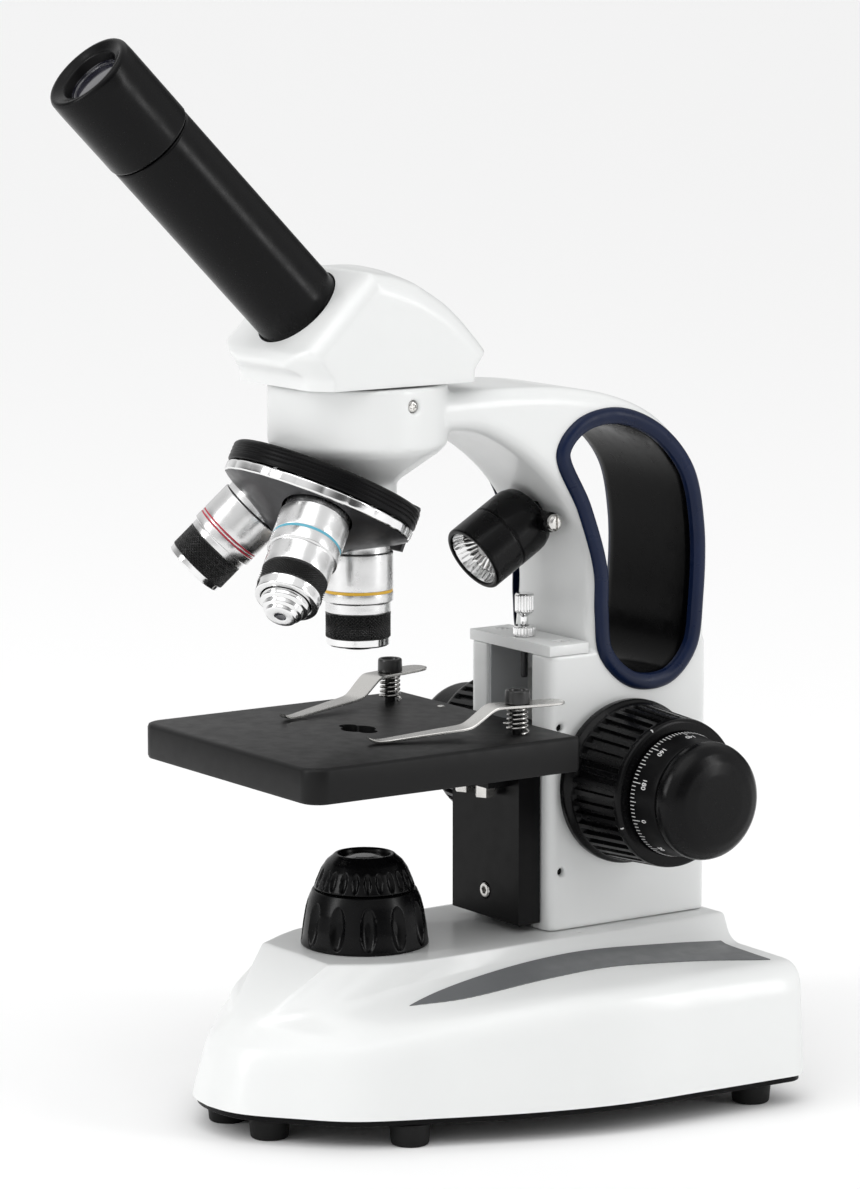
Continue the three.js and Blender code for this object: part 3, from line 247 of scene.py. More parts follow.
BRASS = finish("brass", (0.55, 0.42, 0.18), 0.3, 1.0, grain=(0.5, 0.006), spread=0.06)
YELLOW = finish("band_yellow", (0.72, 0.42, 0.03), 0.4, mottle=0.06, spread=0.05)
BLUE = finish("band_blue", (0.09, 0.38, 0.50), 0.4, mottle=0.06, spread=0.05)
RED = finish("band_red", (0.42, 0.02, 0.04), 0.4, mottle=0.06, spread=0.05)
WHITE_MARK = finish("white_marks", (0.75, 0.75, 0.75), 0.5, mottle=0.05, spread=0.05)
DARK = finish("dark_bore", (0.003, 0.003, 0.003), 0.6, mottle=0.2, spread=0.05, specular=0.2)
LENS = finish("coated_lens", (0.012, 0.012, 0.02), 0.05, coat=1.0, mottle=0.2, spread=0.02)
FROST = finish("frosted_lens", (0.05, 0.05, 0.052), 0.25, coat=0.3, mottle=0.1, spread=0.05)


# ---------------------------------------------------------------- mesh helpers
def piece(name, shape, materials, body, matrix=OPTICAL, replaces=(), sharp=32.0):
    """A riding object from (points, faces) or (points, faces, material numbers), in millimetres."""
    points, faces = shape[0], shape[1]
    mesh = bpy.data.meshes.new(name)
    mesh.from_pydata([Vector(p) * MM for p in points], [], faces)
    materials = materials if isinstance(materials, (list, tuple)) else [materials]
    for one in materials:
        mesh.materials.append(one)
    if len(shape) > 2:
        mesh.polygons.foreach_set("material_index", shape[2])
    cleaned(mesh)
    obj = added(name, mesh)
    smooth(obj, sharp)
    obj.matrix_world = metres(matrix)
    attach(obj, body)
    if replaces:
        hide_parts(*([replaces] if isinstance(replaces, str) else replaces))
    return obj


def cleaned(mesh):
    """Joins points that coincide and turns every face outwards."""
    work = bmesh.new()
    work.from_mesh(mesh)
    bmesh.ops.remove_doubles(work, verts=work.verts, dist=1e-7)
    bmesh.ops.recalc_face_normals(work, faces=work.faces)
    work.to_mesh(mesh)
    work.free()


def smooth(obj, sharp):
    """Shades an object smooth, apart from edges that turn by more than sharp degrees."""
    work = bmesh.new()
    work.from_mesh(obj.data)
    for face in work.faces:
        face.smooth = True
    for edge in work.edges:
        edge.smooth = len(edge.link_faces) == 2 and edge.calc_face_angle(0) < math.radians(sharp)
    work.to_mesh(obj.data)
    work.free()


def rounded(profile, radius, steps=3):
    """Rounds each inner corner of an open profile. Entries are (r, z) or (r, z, material)."""
    points = [(p[0], p[1], p[2] if len(p) > 2 else 0) for p in profile]
    out = [points[0]]
    for before, here, after in zip(points, points[1:], points[2:]):
        a, b, c = (Vector(p[:2]) for p in (before, here, after))
        reach = min(radius, (a - b).length * 0.45, (c - b).length * 0.45)
        if reach < 1e-4:
            out.append(here)
            continue
        start, end = b + (a - b).normalized() * reach, b + (c - b).normalized() * reach
        for step in range(steps + 1):
            t = step / steps
            p = start * (1 - t) ** 2 + b * 2 * t * (1 - t) + end * t * t
            out.append((p.x, p.y, before[2] if t < 0.5 else here[2]))
    return out + [points[-1]]


def finer(profile, step):
    """Adds points to a profile so that none are further apart than step."""
    out = []
    for a, b in zip(profile, profile[1:]):
        count = max(1, math.ceil(math.dist(a[:2], b[:2]) / step))
        for i in range(count):
            t = i / count
            out.append((a[0] + (b[0] - a[0]) * t, a[1] + (b[1] - a[1]) * t, a[2]))
    return out + [profile[-1]]


def lathe(profile, sides=96, shape=None):
    """A surface of revolution. shape(angle, r, z) may give another (r, z)."""
    profile = [(p[0], p[1], p[2] if len(p) > 2 else 0) for p in profile]
    points, faces, numbers, rows = [], [], [], []
    for r, z, _ in profile:
        if r < 1e-6 and not shape:
            rows.append([len(points)] * sides)
            points.append((0, 0, z))
            continue
        rows.append(list(range(len(points), len(points) + sides)))
        for i in range(sides):
            angle = 2 * math.pi * i / sides
            radius, height = shape(angle, r, z) if shape else (r, z)
            points.append((radius * math.cos(angle), radius * math.sin(angle), height))
    for k, (low, high) in enumerate(zip(rows, rows[1:])):
        for i in range(sides):
            j = (i + 1) % sides
            face = list(dict.fromkeys((low[i], low[j], high[j], high[i])))
            if len(face) > 2:
                faces.append(face)
                numbers.append(profile[k][2])
    return points, faces, numbers


def joined(*shapes):
    points, faces, numbers = [], [], []
    for shape in shapes:
        start = len(points)
        points += [tuple(p) for p in shape[0]]
        faces += [[i + start for i in face] for face in shape[1]]
        numbers += list(shape[2]) if len(shape) > 2 else [0] * len(shape[1])
    return points, faces, numbers


def placed(shape, matrix):
    numbers = shape[2] if len(shape) > 2 else [0] * len(shape[1])
    return [matrix @ Vector(p) for p in shape[0]], shape[1], numbers


def mirrored(shape):
    return [(-p[0], p[1], p[2]) for p in shape[0]], [face[::-1] for face in shape[1]], *shape[2:]


def lofted(rings, caps=True):
    """A skin over closed rings of points, with flat ends."""
    count = len(rings[0])
    points = [tuple(p) for ring in rings for p in ring]
    faces = []
    for r in range(len(rings) - 1):
        for i in range(count):
            j = (i + 1) % count
            faces.append((r * count + i, r * count + j, (r + 1) * count + j, (r + 1) * count + i))
    if caps:
        faces.append(tuple(reversed(range(count))))
        faces.append(tuple(range((len(rings) - 1) * count, len(rings) * count)))
    return points, faces


def spline(points, count, closed=False):
    """Evenly spaced points on a centripetal Catmull-Rom curve."""
    pts = [Vector(p) for p in points]
    if closed:
        chain = [pts[-1], *pts, pts[0], pts[1]]
    else:
        chain = [pts[0] * 2 - pts[1], *pts, pts[-1] * 2 - pts[-2]]
    dense = []
    for p0, p1, p2, p3 in zip(chain, chain[1:], chain[2:], chain[3:]):
        t1 = max(1e-6, (p1 - p0).length ** 0.5)
        t2 = t1 + max(1e-6, (p2 - p1).length ** 0.5)
        t3 = t2 + max(1e-6, (p3 - p2).length ** 0.5)
        for i in range(24):
            t = t1 + (t2 - t1) * i / 24
            a1 = p0 * ((t1 - t) / t1) + p1 * (t / t1)
            a2 = p1 * ((t2 - t) / (t2 - t1)) + p2 * ((t - t1) / (t2 - t1))
            a3 = p2 * ((t3 - t) / (t3 - t2)) + p3 * ((t - t2) / (t3 - t2))
            b1 = a1 * ((t2 - t) / t2) + a2 * (t / t2)
            b2 = a2 * ((t3 - t) / (t3 - t1)) + a3 * ((t - t1) / (t3 - t1))
            dense.append(b1 * ((t2 - t) / (t2 - t1)) + b2 * ((t - t1) / (t2 - t1)))
    dense.append(pts[0] if closed else pts[-1])
    lengths = [0.0]
    for a, b in zip(dense, dense[1:]):
        lengths.append(lengths[-1] + (b - a).length)
    wanted = count if closed else count - 1
    out, k = [], 0
    for i in range(count):
        goal = lengths[-1] * i / wanted
        while k < len(dense) - 2 and lengths[k + 1] < goal:
            k += 1
        span = max(1e-9, lengths[k + 1] - lengths[k])
        out.append(dense[k].lerp(dense[k + 1], min(1.0, (goal - lengths[k]) / span)))
    return out


def inset(points, distance):
    """A closed outline of 2-D points moved inwards."""
    area = sum(a[0] * b[1] - b[0] * a[1] for a, b in zip(points, [*points[1:], points[0]]))
    side = 1 if area > 0 else -1
    out = []
    for i, here in enumerate(points):
        before, after = points[i - 1], points[(i + 1) % len(points)]
        a = Vector((here[0] - before[0], here[1] - before[1])).normalized()
        b = Vector((after[0] - here[0], after[1] - here[1])).normalized()
        inward = Vector((-a.y - b.y, a.x + b.x)).normalized()
        reach = distance / max(0.5, abs(inward.dot(Vector((-b.y, b.x)))))
        out.append((here[0] + side * inward.x * reach, here[1] + side * inward.y * reach))
    return out


def slab(outline, half_width, radius, steps=5):
    """A (Y, Z) outline given thickness along X, with its edges rounded."""
    rings = []
    for sign in (-1, 1):
        part = []
        for step in range(steps + 1):
            angle = math.pi / 2 * step / steps
            distance, x = radius * (1 - math.sin(angle)), half_width - radius * (1 - math.cos(angle))
            part.append([(sign * x, y, z) for y, z in inset(outline, distance)])
        rings += part if sign < 0 else part[::-1]
    return lofted(rings)


def block(low, high):
    (a, b, c), (d, e, f) = low, high
    points = [(a, b, c), (d, b, c), (d, e, c), (a, e, c), (a, b, f), (d, b, f), (d, e, f), (a, e, f)]
    return points, [(3, 2, 1, 0), (4, 5, 6, 7), (0, 1, 5, 4), (1, 2, 6, 5), (2, 3, 7, 6), (3, 0, 4, 7)]


def rod(radius, low, high, sides=48):
    return lathe([(0, low), (radius, low), (radius, high), (0, high)], sides)


def swept(path, radius, sides=10):
    """A round bar along a path."""
    rings = []
    for i, here in enumerate(path):
        ahead = (path[min(i + 1, len(path) - 1)] - path[max(i - 1, 0)]).normalized()
        side = ahead.cross(Vector((0, 0, 1))).normalized()
        up = side.cross(ahead)
        rings.append([here + (side * math.cos(t) + up * math.sin(t)) * radius
                      for t in (2 * math.pi * k / sides for k in range(sides))])
    return lofted(rings)


def raw(name, shape, matrix=OPTICAL):
    """A hidden helper object for a boolean."""
    mesh = bpy.data.meshes.new(name)
    mesh.from_pydata([Vector(p) * MM for p in shape[0]], [], [list(f) for f in shape[1]])
    cleaned(mesh)
    obj = added(name, mesh)
    obj.matrix_world = metres(matrix)
    return obj


def apply_modifiers(obj):
    bpy.context.view_layer.update()
    evaluated = obj.evaluated_get(bpy.context.evaluated_depsgraph_get())
    obj.data = bpy.data.meshes.new_from_object(evaluated)
    obj.modifiers.clear()


def boolean(obj, operation, tool):
    """Joins, cuts or trims an object by a helper object, which is then deleted."""
    bpy.context.view_layer.update()
    change = obj.modifiers.new("change", "BOOLEAN")
    change.operation, change.solver, change.object = operation, "MANIFOLD", tool
    apply_modifiers(obj)
    bpy.data.objects.remove(tool)


def cut(obj, *shapes):
    """Cuts helper shapes, each given as (shape, matrix), out of an object."""
    for number, (shape, matrix) in enumerate(shapes):
        boolean(obj, "DIFFERENCE", raw(f"{obj.name}_tool_{number}", shape, matrix))


def cast(obj, voxel, passes):
    """Rebuilds a body in small even faces and softens it, as a casting's edges are."""
    remesh = obj.modifiers.new("remesh", "REMESH")
    remesh.mode, remesh.voxel_size = "VOXEL", voxel * MM
    soften = obj.modifiers.new("soften", "SMOOTH")
    soften.factor, soften.iterations = 0.5, passes
    apply_modifiers(obj)
    for face in obj.data.polygons:
        face.use_smooth = True


def adopt(obj, materials, body, replaces):
    """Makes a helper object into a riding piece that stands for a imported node."""
    obj.data.materials.clear()
    for material in materials:
        obj.data.materials.append(material)
    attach(obj, body)
    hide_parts(replaces)


def bevelled(obj, width, angle):
    edge = obj.modifiers.new("edges", "BEVEL")
    edge.width, edge.segments = width * MM, 2
    edge.limit_method, edge.angle_limit = "ANGLE", math.radians(angle)


def keep(node, material, bevel):
    """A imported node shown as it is, with its edges broken and its own material."""
    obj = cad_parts[node]
    obj.data.materials.clear()
    obj.data.materials.append(material)
    for face in obj.data.polygons:
        face.use_smooth = True
    if bevel:
        bevelled(obj, bevel, 35)
    obj.modifiers.new("normals", "WEIGHTED_NORMAL")


def smoothstep(low, high, value):
    """Rises smoothly from 0 at low to 1 at high."""
    t = max(0.0, min(1.0, (value - low) / (high - low)))
    return t * t * (3 - 2 * t)


# ---------------------------------------------------------------- base
def half_ring(half):
    """A closed ring from its right half, which starts on the middle line."""
    return [*half, *[Vector((-p[0], p[1], p[2])) for p in reversed(half[1:])]]


def skirt_top(y):
    return 26 + 14.3 * smoothstep(-76, 59, y)


def skirt_half(distance, rear, height):
    line = spline([(0, -51), (7.5, -50), (13.6, -47.6), (25.8, -38), (37.4, -26.7), (49, -2.4),
                   (58.5, 21.9), (64.6, 46.2), (66.6, 75.4), (68, 105)], 70)
    whole = [*line, *[Vector((-p.x, p.y)) for p in reversed(line[1:])]]
    ring = inset(whole, distance)[:69]
    radius = max(6 - distance, 0.8)
    for step in range(7):
        angle = math.pi / 2 * step / 6
        ring.append((68 - distance - radius * (1 - math.cos(angle)),
                     111 - rear - radius * (1 - math.sin(angle))))
    return [Vector((x if i else 0, y, height(y))) for i, (x, y) in enumerate(ring)]


def even_half(nose, side, rear_y):
    """Half a ring with as many points as skirt_half gives, so that the rings can be skinned."""
    line = spline(nose, 12)[:-1] + spline(side, 58)
    return line + [Vector((line[-1].x - 0.1 * k, rear_y, line[-1].z)) for k in range(1, 8)]


def base_shape():
    bottom = skirt_half(0, 0, lambda y: 8.5)
    draft = skirt_half(4, 0.1, lambda y: skirt_top(y) - 4)
    shoulder = skirt_half(8, 1, skirt_top)
    crease = even_half([(0, -40.5, 31.8), (3.5, -40.3, 31.9), (7, -38.7, 32.4)],
                       [(7, -38.7, 32.4), (20, -30, 36), (27, -10, 39.5), (29.5, 20, 42.5), (30, 50, 43.8),
                        (30.5, 80, 42.5), (31.6, 109.4, 40.7)], 109.8)
    deck = even_half([(0, -21.5, 48.3), (9, -21.5, 48.3), (17, -21.5, 48.3)],
                     [(17, -21.5, 48.3), (23.5, -10.5, 48.3), (27, -1.5, 48.3), (27, 45, 48.3),
                      (27, 110.4, 48.3)], 110.6)
    centre = [Vector((p.x * 0.9, p.y + (-1 if p.y > 60 else 1) * 1.5, 48.3)) for p in deck]
    columns = []
    for column in zip(bottom, draft, shoulder, crease, deck, centre):
        out = [column[0]]
        for before, here, after, reach in zip(column, column[1:], column[2:], (5, 4, 5, 1.2)):
            a, b = before - here, after - here
            a = a.normalized() * min(reach, a.length * 0.45)
            b = b.normalized() * min(reach, b.length * 0.45)
            for step in range(6):
                t = step / 5
                out.append(here + a * (1 - t) ** 2 + b * t * t)
        out.append(column[5])
        columns.append(out)
    return lofted([half_ring(list(ring)) for ring in zip(*columns)])


BASE = base_shape()
piece("base_casting", BASE, PAINT, "stand", replaces="base_shell", sharp=20)
SURFACE = BVHTree.FromPolygons([Vector(p) for p in BASE[0]], [list(f) for f in BASE[1]])


def surface_z(x, y):
    hit = SURFACE.ray_cast(Vector((x, y, 80)), Vector((0, 0, -1)))
    return hit[0].z if hit[0] else 40


def inlay_shape():
    """A thin crescent that follows the top of the skirt and stands a little proud of it."""
    rows, across, proud, thickness = 90, 11, 0.25, 0.85
    inner = spline([(33, -5), (31.6, 18), (30.6, 44), (30.6, 66), (31.8, 90), (33, 105)], rows)
    outer = spline([(33, -5), (39, 12), (42, 37), (43.4, 64), (48.5, 88), (56, 105)], rows)
    points = []
    for lift in (proud, proud - thickness):
        for start, end in zip(inner, outer):
            for c in range(across):
                p = start.lerp(end, c / (across - 1))
                points.append((p.x, p.y, surface_z(p.x, p.y) + lift))
    sheet = rows * across
    faces = []
    for first in (0, sheet):
        for r in range(rows - 1):
            for c in range(across - 1):
                k = first + r * across + c
                faces.append((k, k + 1, k + across + 1, k + across))
    rim = [r * across for r in range(rows)]
    rim += [(rows - 1) * across + c for c in range(1, across)]
    rim += [r * across + across - 1 for r in range(rows - 2, 0, -1)]
    rim += range(across - 1, 0, -1)
    for here, after in zip(rim, rim[1:] + rim[:1]):
        faces.append((here, after, after + sheet, here + sheet))
    return points, faces


INLAY = inlay_shape()
piece("inlay_panel_right", INLAY, GREY, "stand", replaces="inlay_right")
piece("inlay_panel_left", mirrored(INLAY), GREY, "stand", replaces="inlay_left")

plate_line = inset([p.xy for p in half_ring(skirt_half(1.2, 1.2, lambda y: 0))], 0)
piece("under_plate", lofted([[(x, y, z) for x, y in inset(plate_line, d)]
                             for d, z in ((0.5, 6.5), (0.1, 6.7), (0, 7), (0, 8.5))]),
      SATIN, "stand", replaces="base_plate")
FOOT = lathe(rounded([(0, 0), (5.3, 0), (5.8, 5.2), (5.8, 6.5), (0, 6.5)], 0.8, 4), 48)
for node in sorted(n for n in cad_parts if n.startswith("foot_")):
    low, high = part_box(node)
    spot = (low + high) / 2 / MM
    piece(node + "_pad", FOOT, RUBBER, "stand", moved(spot.x, spot.y), replaces=node)


# ---------------------------------------------------------------- illuminator
DENTS = ((12, 55.5, 6.2, 2.4, 1.7), (24, 67.9, 2.8, 1.05, 0.9))


def dome_dents(angle, r, z):
    """Scoops in the dome and its cap. A row of DENTS is a count, a height, two half sizes and a depth."""
    for count, centre, half_height, half_width, depth in DENTS:
        step = 2 * math.pi / count
        across = ((angle + step / 2) % step - step / 2) * r / half_width
        along = (z - centre) / half_height
        inside = 1 - across * across - along * along
        if inside > 0:
            r -= depth * min(1.0, inside * 1.15) ** 0.7
    return r, z


dome = rounded([(16, 48.4), (18.4, 48.4), (18.1, 50), (17.7, 54), (16.9, 58.8), (16.1, 61.6), (14.9, 64.3),
                (14.3, 64.35), (12, 64.35)], 0.7)
piece("lamp_dome", lathe(finer(dome, 0.4), 360, dome_dents), GLOSS, "stand", ILLUMINATOR,
      replaces="illuminator_dome", sharp=50)
cap = rounded([(12, 64.7), (14.5, 64.7), (13.9, 66.6), (12.4, 70.2), (10.9, 72.4), (9.3, 73.7), (8.6, 74.4),
               (7.7, 74.5), (7.3, 73.6), (7.2, 72.4), (6, 72.3)], 0.5)
piece("lamp_cap", lathe(finer(cap, 0.35), 360, dome_dents), GLOSS, "stand", ILLUMINATOR,
      replaces="illuminator_cap", sharp=50)
piece("lamp_window", lathe(rounded([(0, 73.9), (3, 73.8), (6, 73.1), (7.15, 72.5), (7.15, 71), (0, 71)],
                                   0.3)), FROST, "stand", ILLUMINATOR, replaces="illuminator_lens")


# ---------------------------------------------------------------- arm
GRIP = [(p.x, p.y) for p in spline([(54.2, 187), (61, 196), (75.4, 199), (91.1, 193.2), (103, 180.4),
                                    (107.3, 163), (107.2, 142), (104.5, 126), (95, 117), (81, 117.2),
                                    (70, 127), (68, 140), (67.6, 152), (62, 169.5)], 180, closed=True)]


def neck_outline():
    front = spline([(66.4, 104), (66.4, 118), (66.4, 128.6), (67.4, 138), (68, 145), (67.1, 154.4),
                    (63.4, 165.3), (56.8, 175), (48.8, 182.9), (39.2, 189.4), (28.9, 194.2),
                    (17, 195.4), (4, 195)], 80)
    top = spline([(4, 205.5), (25, 206.2), (45, 206.2), (60, 205.2), (75, 202.4), (88, 197.4),
                  (97, 190.6), (104, 181.4), (108.2, 171), (109.5, 160), (109.5, 148)], 60)
    rear = [Vector((109.5, z)) for z in (136, 124, 112, 104)]
    return [(p.x, p.y) for p in [*front, *top, *rear, Vector((95, 104)), Vector((80, 104))]]


column = [(52.2, 38), (52.2, 70), (52.2, 105), (52.2, 140), (80, 140), (109.5, 140), (109.5, 105),
          (109.5, 70), (109.5, 38), (80, 38)]
arm = raw("arm_casting", slab(column, 20, 3.0, 6))
cut(arm, (block((-40, 30, 20), (40, 130, 48.5)), OPTICAL), (block((-40, 0, 128.6), (40, 130, 150)), OPTICAL))
boolean(arm, "UNION", raw("neck", slab(neck_outline(), 20, 4.5, 6)))
drum = raw("drum", lathe(rounded([(0, 160), (11, 160), (11, 181), (12.6, 182.4), (17.6, 185.9),
                                  (23.6, 190.2), (25.3, 192.4), (25.3, 209.1), (0, 209.1)], 1.0, 5), 128))
cut(drum, (block((-60, -60, -90), (60, 60, 0)), TURRET @ moved(0, 0, -22.2)))
boolean(arm, "UNION", drum)
cut(arm,
    (slab(inset(GRIP, 3.1), 30, 0.1, 1), OPTICAL),
    (block((-11.2, 50, 40), (11.2, 66.9, 150)), OPTICAL),
    (block((-11.2, 50, 40), (11.2, 74.8, 120)), OPTICAL),
    (rod(10, -11, 11), FOCUS),
    (rod(4.85, -30, 30), FOCUS),
    *[(rod(1.25, low, low + 20), OPTICAL @ moved(0, y, z) @ turned(90, "Y"))
      for low in (10, -30) for y, z in SIDE_HOLES],
    (rod(1.9, 16, 30), OPTICAL @ moved(*DRUM_SCREW) @ turned(90, "Y")))
cast(arm, 0.6, 5)
adopt(arm, [PAINT], "stand", "arm")
# Grey strips on the walls inside the slide channel: painted shade of the recess.
for side, x in (("left", -11.3), ("right", 10.2)):
    piece(f"channel_strip_{side}", block((x, 53.2, 48.6), (x + 1.1, 66.2, 128.4)), CHANNEL_PAINTED_SHADE, "stand")


def rim_shape():
    section = ((0.0, 20.0), (0.15, 20.6), (0.7, 21.25), (1.5, 21.6), (2.6, 21.65), (3.7, 21.4), (4.5, 20.8),
               (4.8, 20.0), (4.85, 19.0))
    return lofted([[(x, y, z) for y, z in inset(GRIP, d)] for d, x in section], caps=False)


piece("grip_edge_right", rim_shape(), NAVY, "stand", replaces="grip_rim_right")
piece("grip_edge_left", mirrored(rim_shape()), NAVY, "stand", replaces="grip_rim_left")
# The lining inside the grip hole is drawn near-black as painted shade of the hole.
rings = [(19.4, 4.82), (19.0, 5.0), (17, 5.05), (8, 5.1), (0, 5.1), (-8, 5.1), (-17, 5.05), (-19.0, 5.0),
         (-19.4, 4.82)]
piece("grip_liner", lofted([[(x, y, z) for y, z in inset(GRIP, d)] for x, d in rings], caps=False), LINER_PAINTED_SHADE,
      "stand", replaces="grip_sleeve")


def crosshead(size, top, cross, depth):
    """A screw head with a cross recess; shape() sinks the cross."""
    profile = finer(rounded([(0, top), (size - 0.4, top), (size, top - 0.5), (size, top - 2.5)], 0.3), 0.12)

    def sink(angle, r, z):
        x, y = abs(r * math.cos(angle)), abs(r * math.sin(angle))
        if z > top - 0.2 and min(x, y) < 0.42 and max(x, y) < cross:
            z -= depth * min(1.0, (0.42 - min(x, y)) / 0.12)
        return r, z
    return lathe(profile, 96, sink)


cover = raw("slide_cap", slab([(52.3, 128.65), (66.2, 128.65), (66.2, 131.8), (52.3, 131.8)], 20, 0.4, 2))
cut(cover, (rod(1.4, 120, 140, 32), STOP))
for side, x in (("left", -COVER_SCREW_X), ("right", COVER_SCREW_X)):
    seat = OPTICAL @ moved(x, COVER_SCREW_Y, 0)
    cut(cover, (lathe([(0, 120), (1.5, 120), (1.5, 130), (3.0, 131.9), (3.0, 140), (0, 140)], 48), seat))
    piece(f"cover_screw_head_{side}", crosshead(2.7, 131.7, 1.7, 0.7), WHITE_MARK, "stand", seat,
          replaces=f"cover_screw_{side}")
adopt(cover, [PAINT], "stand", "slide_cover")
bevelled(cover, 0.25, 40)
smooth(cover, 35)


def fluted(ridges, depth, low, high):
    def shape(angle, r, z):
        if low < z < high and r > 1.5:
            r -= depth * (0.5 + 0.5 * math.cos(angle * ridges)) ** 2
        return r, z
    return shape


stop_profile = rounded([(0, 119.7), (0.9, 119.7), (1.0, 120.2), (1.0, 134), (1.15, 136.2), (1.15, 137.8),
                        (2.5, 138.7), (2.8, 139), (2.8, 143.9), (2.4, 144.3), (0, 144.3)], 0.2, 2)
stop_profile = [(r, z, 1 if z < 131 else 0) for r, z, _ in finer(stop_profile, 0.5)]
piece("stop_thumb_screw", lathe(stop_profile, 216, fluted(18, 0.5, 139.1, 143.8)), [CHROME, DARK_METAL],
      "stop_screw", STOP, replaces="stop_screw", sharp=50)
nut_profile = rounded([(1.5, 131.9), (3.2, 131.9), (3.35, 132.2), (3.35, 134.5), (3.0, 134.9), (1.5, 134.9)],
                      0.2, 2)
piece("stop_lock_nut", lathe(finer(nut_profile, 0.4), 240, fluted(20, 0.4, 132.2, 134.5)), CHROME,
      "stop_nut", STOP, replaces="stop_nut", sharp=50)


# ---------------------------------------------------------------- stage and slide
def round_rectangle(half_x, half_y, front, rear, grow, steps=10):
    """An outline with its own corner radius at the front and at the rear, moved outwards by grow."""
    out = []
    corners = ((half_x, -half_y, front, -90), (half_x, half_y, rear, 0), (-half_x, half_y, rear, 90),
               (-half_x, -half_y, front, 180))
    for cx, cy, radius, start in corners:
        r = max(0.1, radius + grow)
        for k in range(steps + 1):
            angle = math.radians(start + 90 * k / steps)
            out.append((cx + grow * (1 if cx > 0 else -1) - math.copysign(r, cx) + r * math.cos(angle),
                        cy + grow * (1 if cy > 0 else -1) - math.copysign(r, cy) + r * math.sin(angle)))
    return out


stage_rings = [[(x, y, z) for x, y in round_rectangle(45, 45, 6, 1.2, -d)]
               for d, z in ((1.2, 100.3), (0.35, 100.55), (0, 101.4), (0, 109.3), (0.35, 110.2),
                            (1.2, 110.5))]
stage = raw("stage_table", lofted(stage_rings))
cut(stage, *[(rod(r, 95, 120), OPTICAL @ moved(x)) for r, x in ((5, 0), (2.6, 5.2), (2.6, -5.2))])
adopt(stage, [STAGE], "stage", "stage_plate")
bevelled(stage, 0.3, 60)
smooth(stage, 50)
PIN = lathe(rounded([(0, 110.8), (0.9, 110.7), (1.2, 110.45), (1.2, 110), (0, 110)], 0.2), 32)
for side, x in (("left", -16.5), ("right", 16.5)):
    piece(f"stage_pin_{side}", PIN, STEEL, "stage", OPTICAL @ moved(x, 39.8))
for node, material, bevel in (("slide_bracket", SATIN, 0.5), ("rack", BRASS, 0.1), ("prism", LENS, 0),
                              ("turret_screw", STEEL, 0.3), ("diaphragm_screw", STEEL, 0.3),
                              ("pinion_shaft", STEEL, 0.1), ("fine_shaft", STEEL, 0.1),
                              ("power_inlet", SATIN, 0.2), ("switch_rocker", SATIN, 0.4),
                              ("stage_bolt_left", STEEL, 0.3), ("stage_bolt_right", STEEL, 0.3),
                              ("lamp_bracket", SATIN, 0.2)):
    keep(node, material, bevel)
screw = lathe(rounded([(0, -0.9), (1.05, -0.9), (1.05, 0.35), (2.0, 0.35), (2.25, 0), (2.25, -1)], 0.15, 2),
              64, lambda a, r, z: (r * (1 if r > 1.2 else 0.93 + 0.07 * math.cos(6 * a)), z))
piece("slide_set_screw", screw, STEEL, "stage", OPTICAL @ moved(0, 43.9, 58.4) @ turned(90, "X"))


def disc_edge(angle, r, z):
    return (r - 0.3 * (0.5 + 0.5 * math.cos(angle * 110)) ** 2, z) if r > 24.2 else (r, z)


DISC_X, PITCH_RADIUS = -12, 17
DISC_Y = -math.sqrt(PITCH_RADIUS ** 2 - DISC_X ** 2)
disc_profile = rounded([(0, 97.6), (24.6, 97.6), (25, 97.9), (25, 99.6), (24.6, 99.9), (0, 99.9)], 0.2, 2)
disc = raw("diaphragm_wheel", lathe(finer(disc_profile, 0.6), 440, disc_edge),
           OPTICAL @ moved(DISC_X, DISC_Y))
first = math.atan2(-DISC_Y, -DISC_X)
for k, radius in enumerate((4, 3, 2.2, 1.5, 1)):
    around = first + 2 * math.pi * k / 5
    spot = moved(DISC_X + PITCH_RADIUS * math.cos(around), DISC_Y + PITCH_RADIUS * math.sin(around))
    cut(disc, (rod(radius, 95, 102, 32), OPTICAL @ spot))
adopt(disc, [SATIN], "diaphragm", "diaphragm_disc")
smooth(disc, 40)


# ---------------------------------------------------------------- clips
def leaf_shape():
    stations = [(13.9, 0.1, 1.2), (13.3, 0.1, 2.4), (12, 0.08, 3.3), (10, 0.06, 3.8), (4, 0, 4.0),
                (-4, 0, 4.0), (-7, -0.1, 4.0), (-8.5, -0.6, 3.95), (-14.2, -4.6, 3.7), (-15.8, -5.3, 3.5),
                (-24, -6.1, 2.9), (-36, -7.2, 2.2), (-40, -7.55, 1.9), (-42, -7.55, 1.8), (-43.6, -7.2, 1.6),
                (-44.9, -6.6, 1.3)]
    middle = spline([(w, y, z) for y, z, w in stations], 90)
    rings = []
    for w, y, z in middle:
        z += 118.4
        rings.append([(w, y, z + 0.15), (w, y, z + 0.6), (w - 0.18, y, z + 0.78), (-w + 0.18, y, z + 0.78),
                      (-w, y, z + 0.6), (-w, y, z + 0.15), (-w + 0.18, y, z), (w - 0.18, y, z)])
    return lofted(rings)


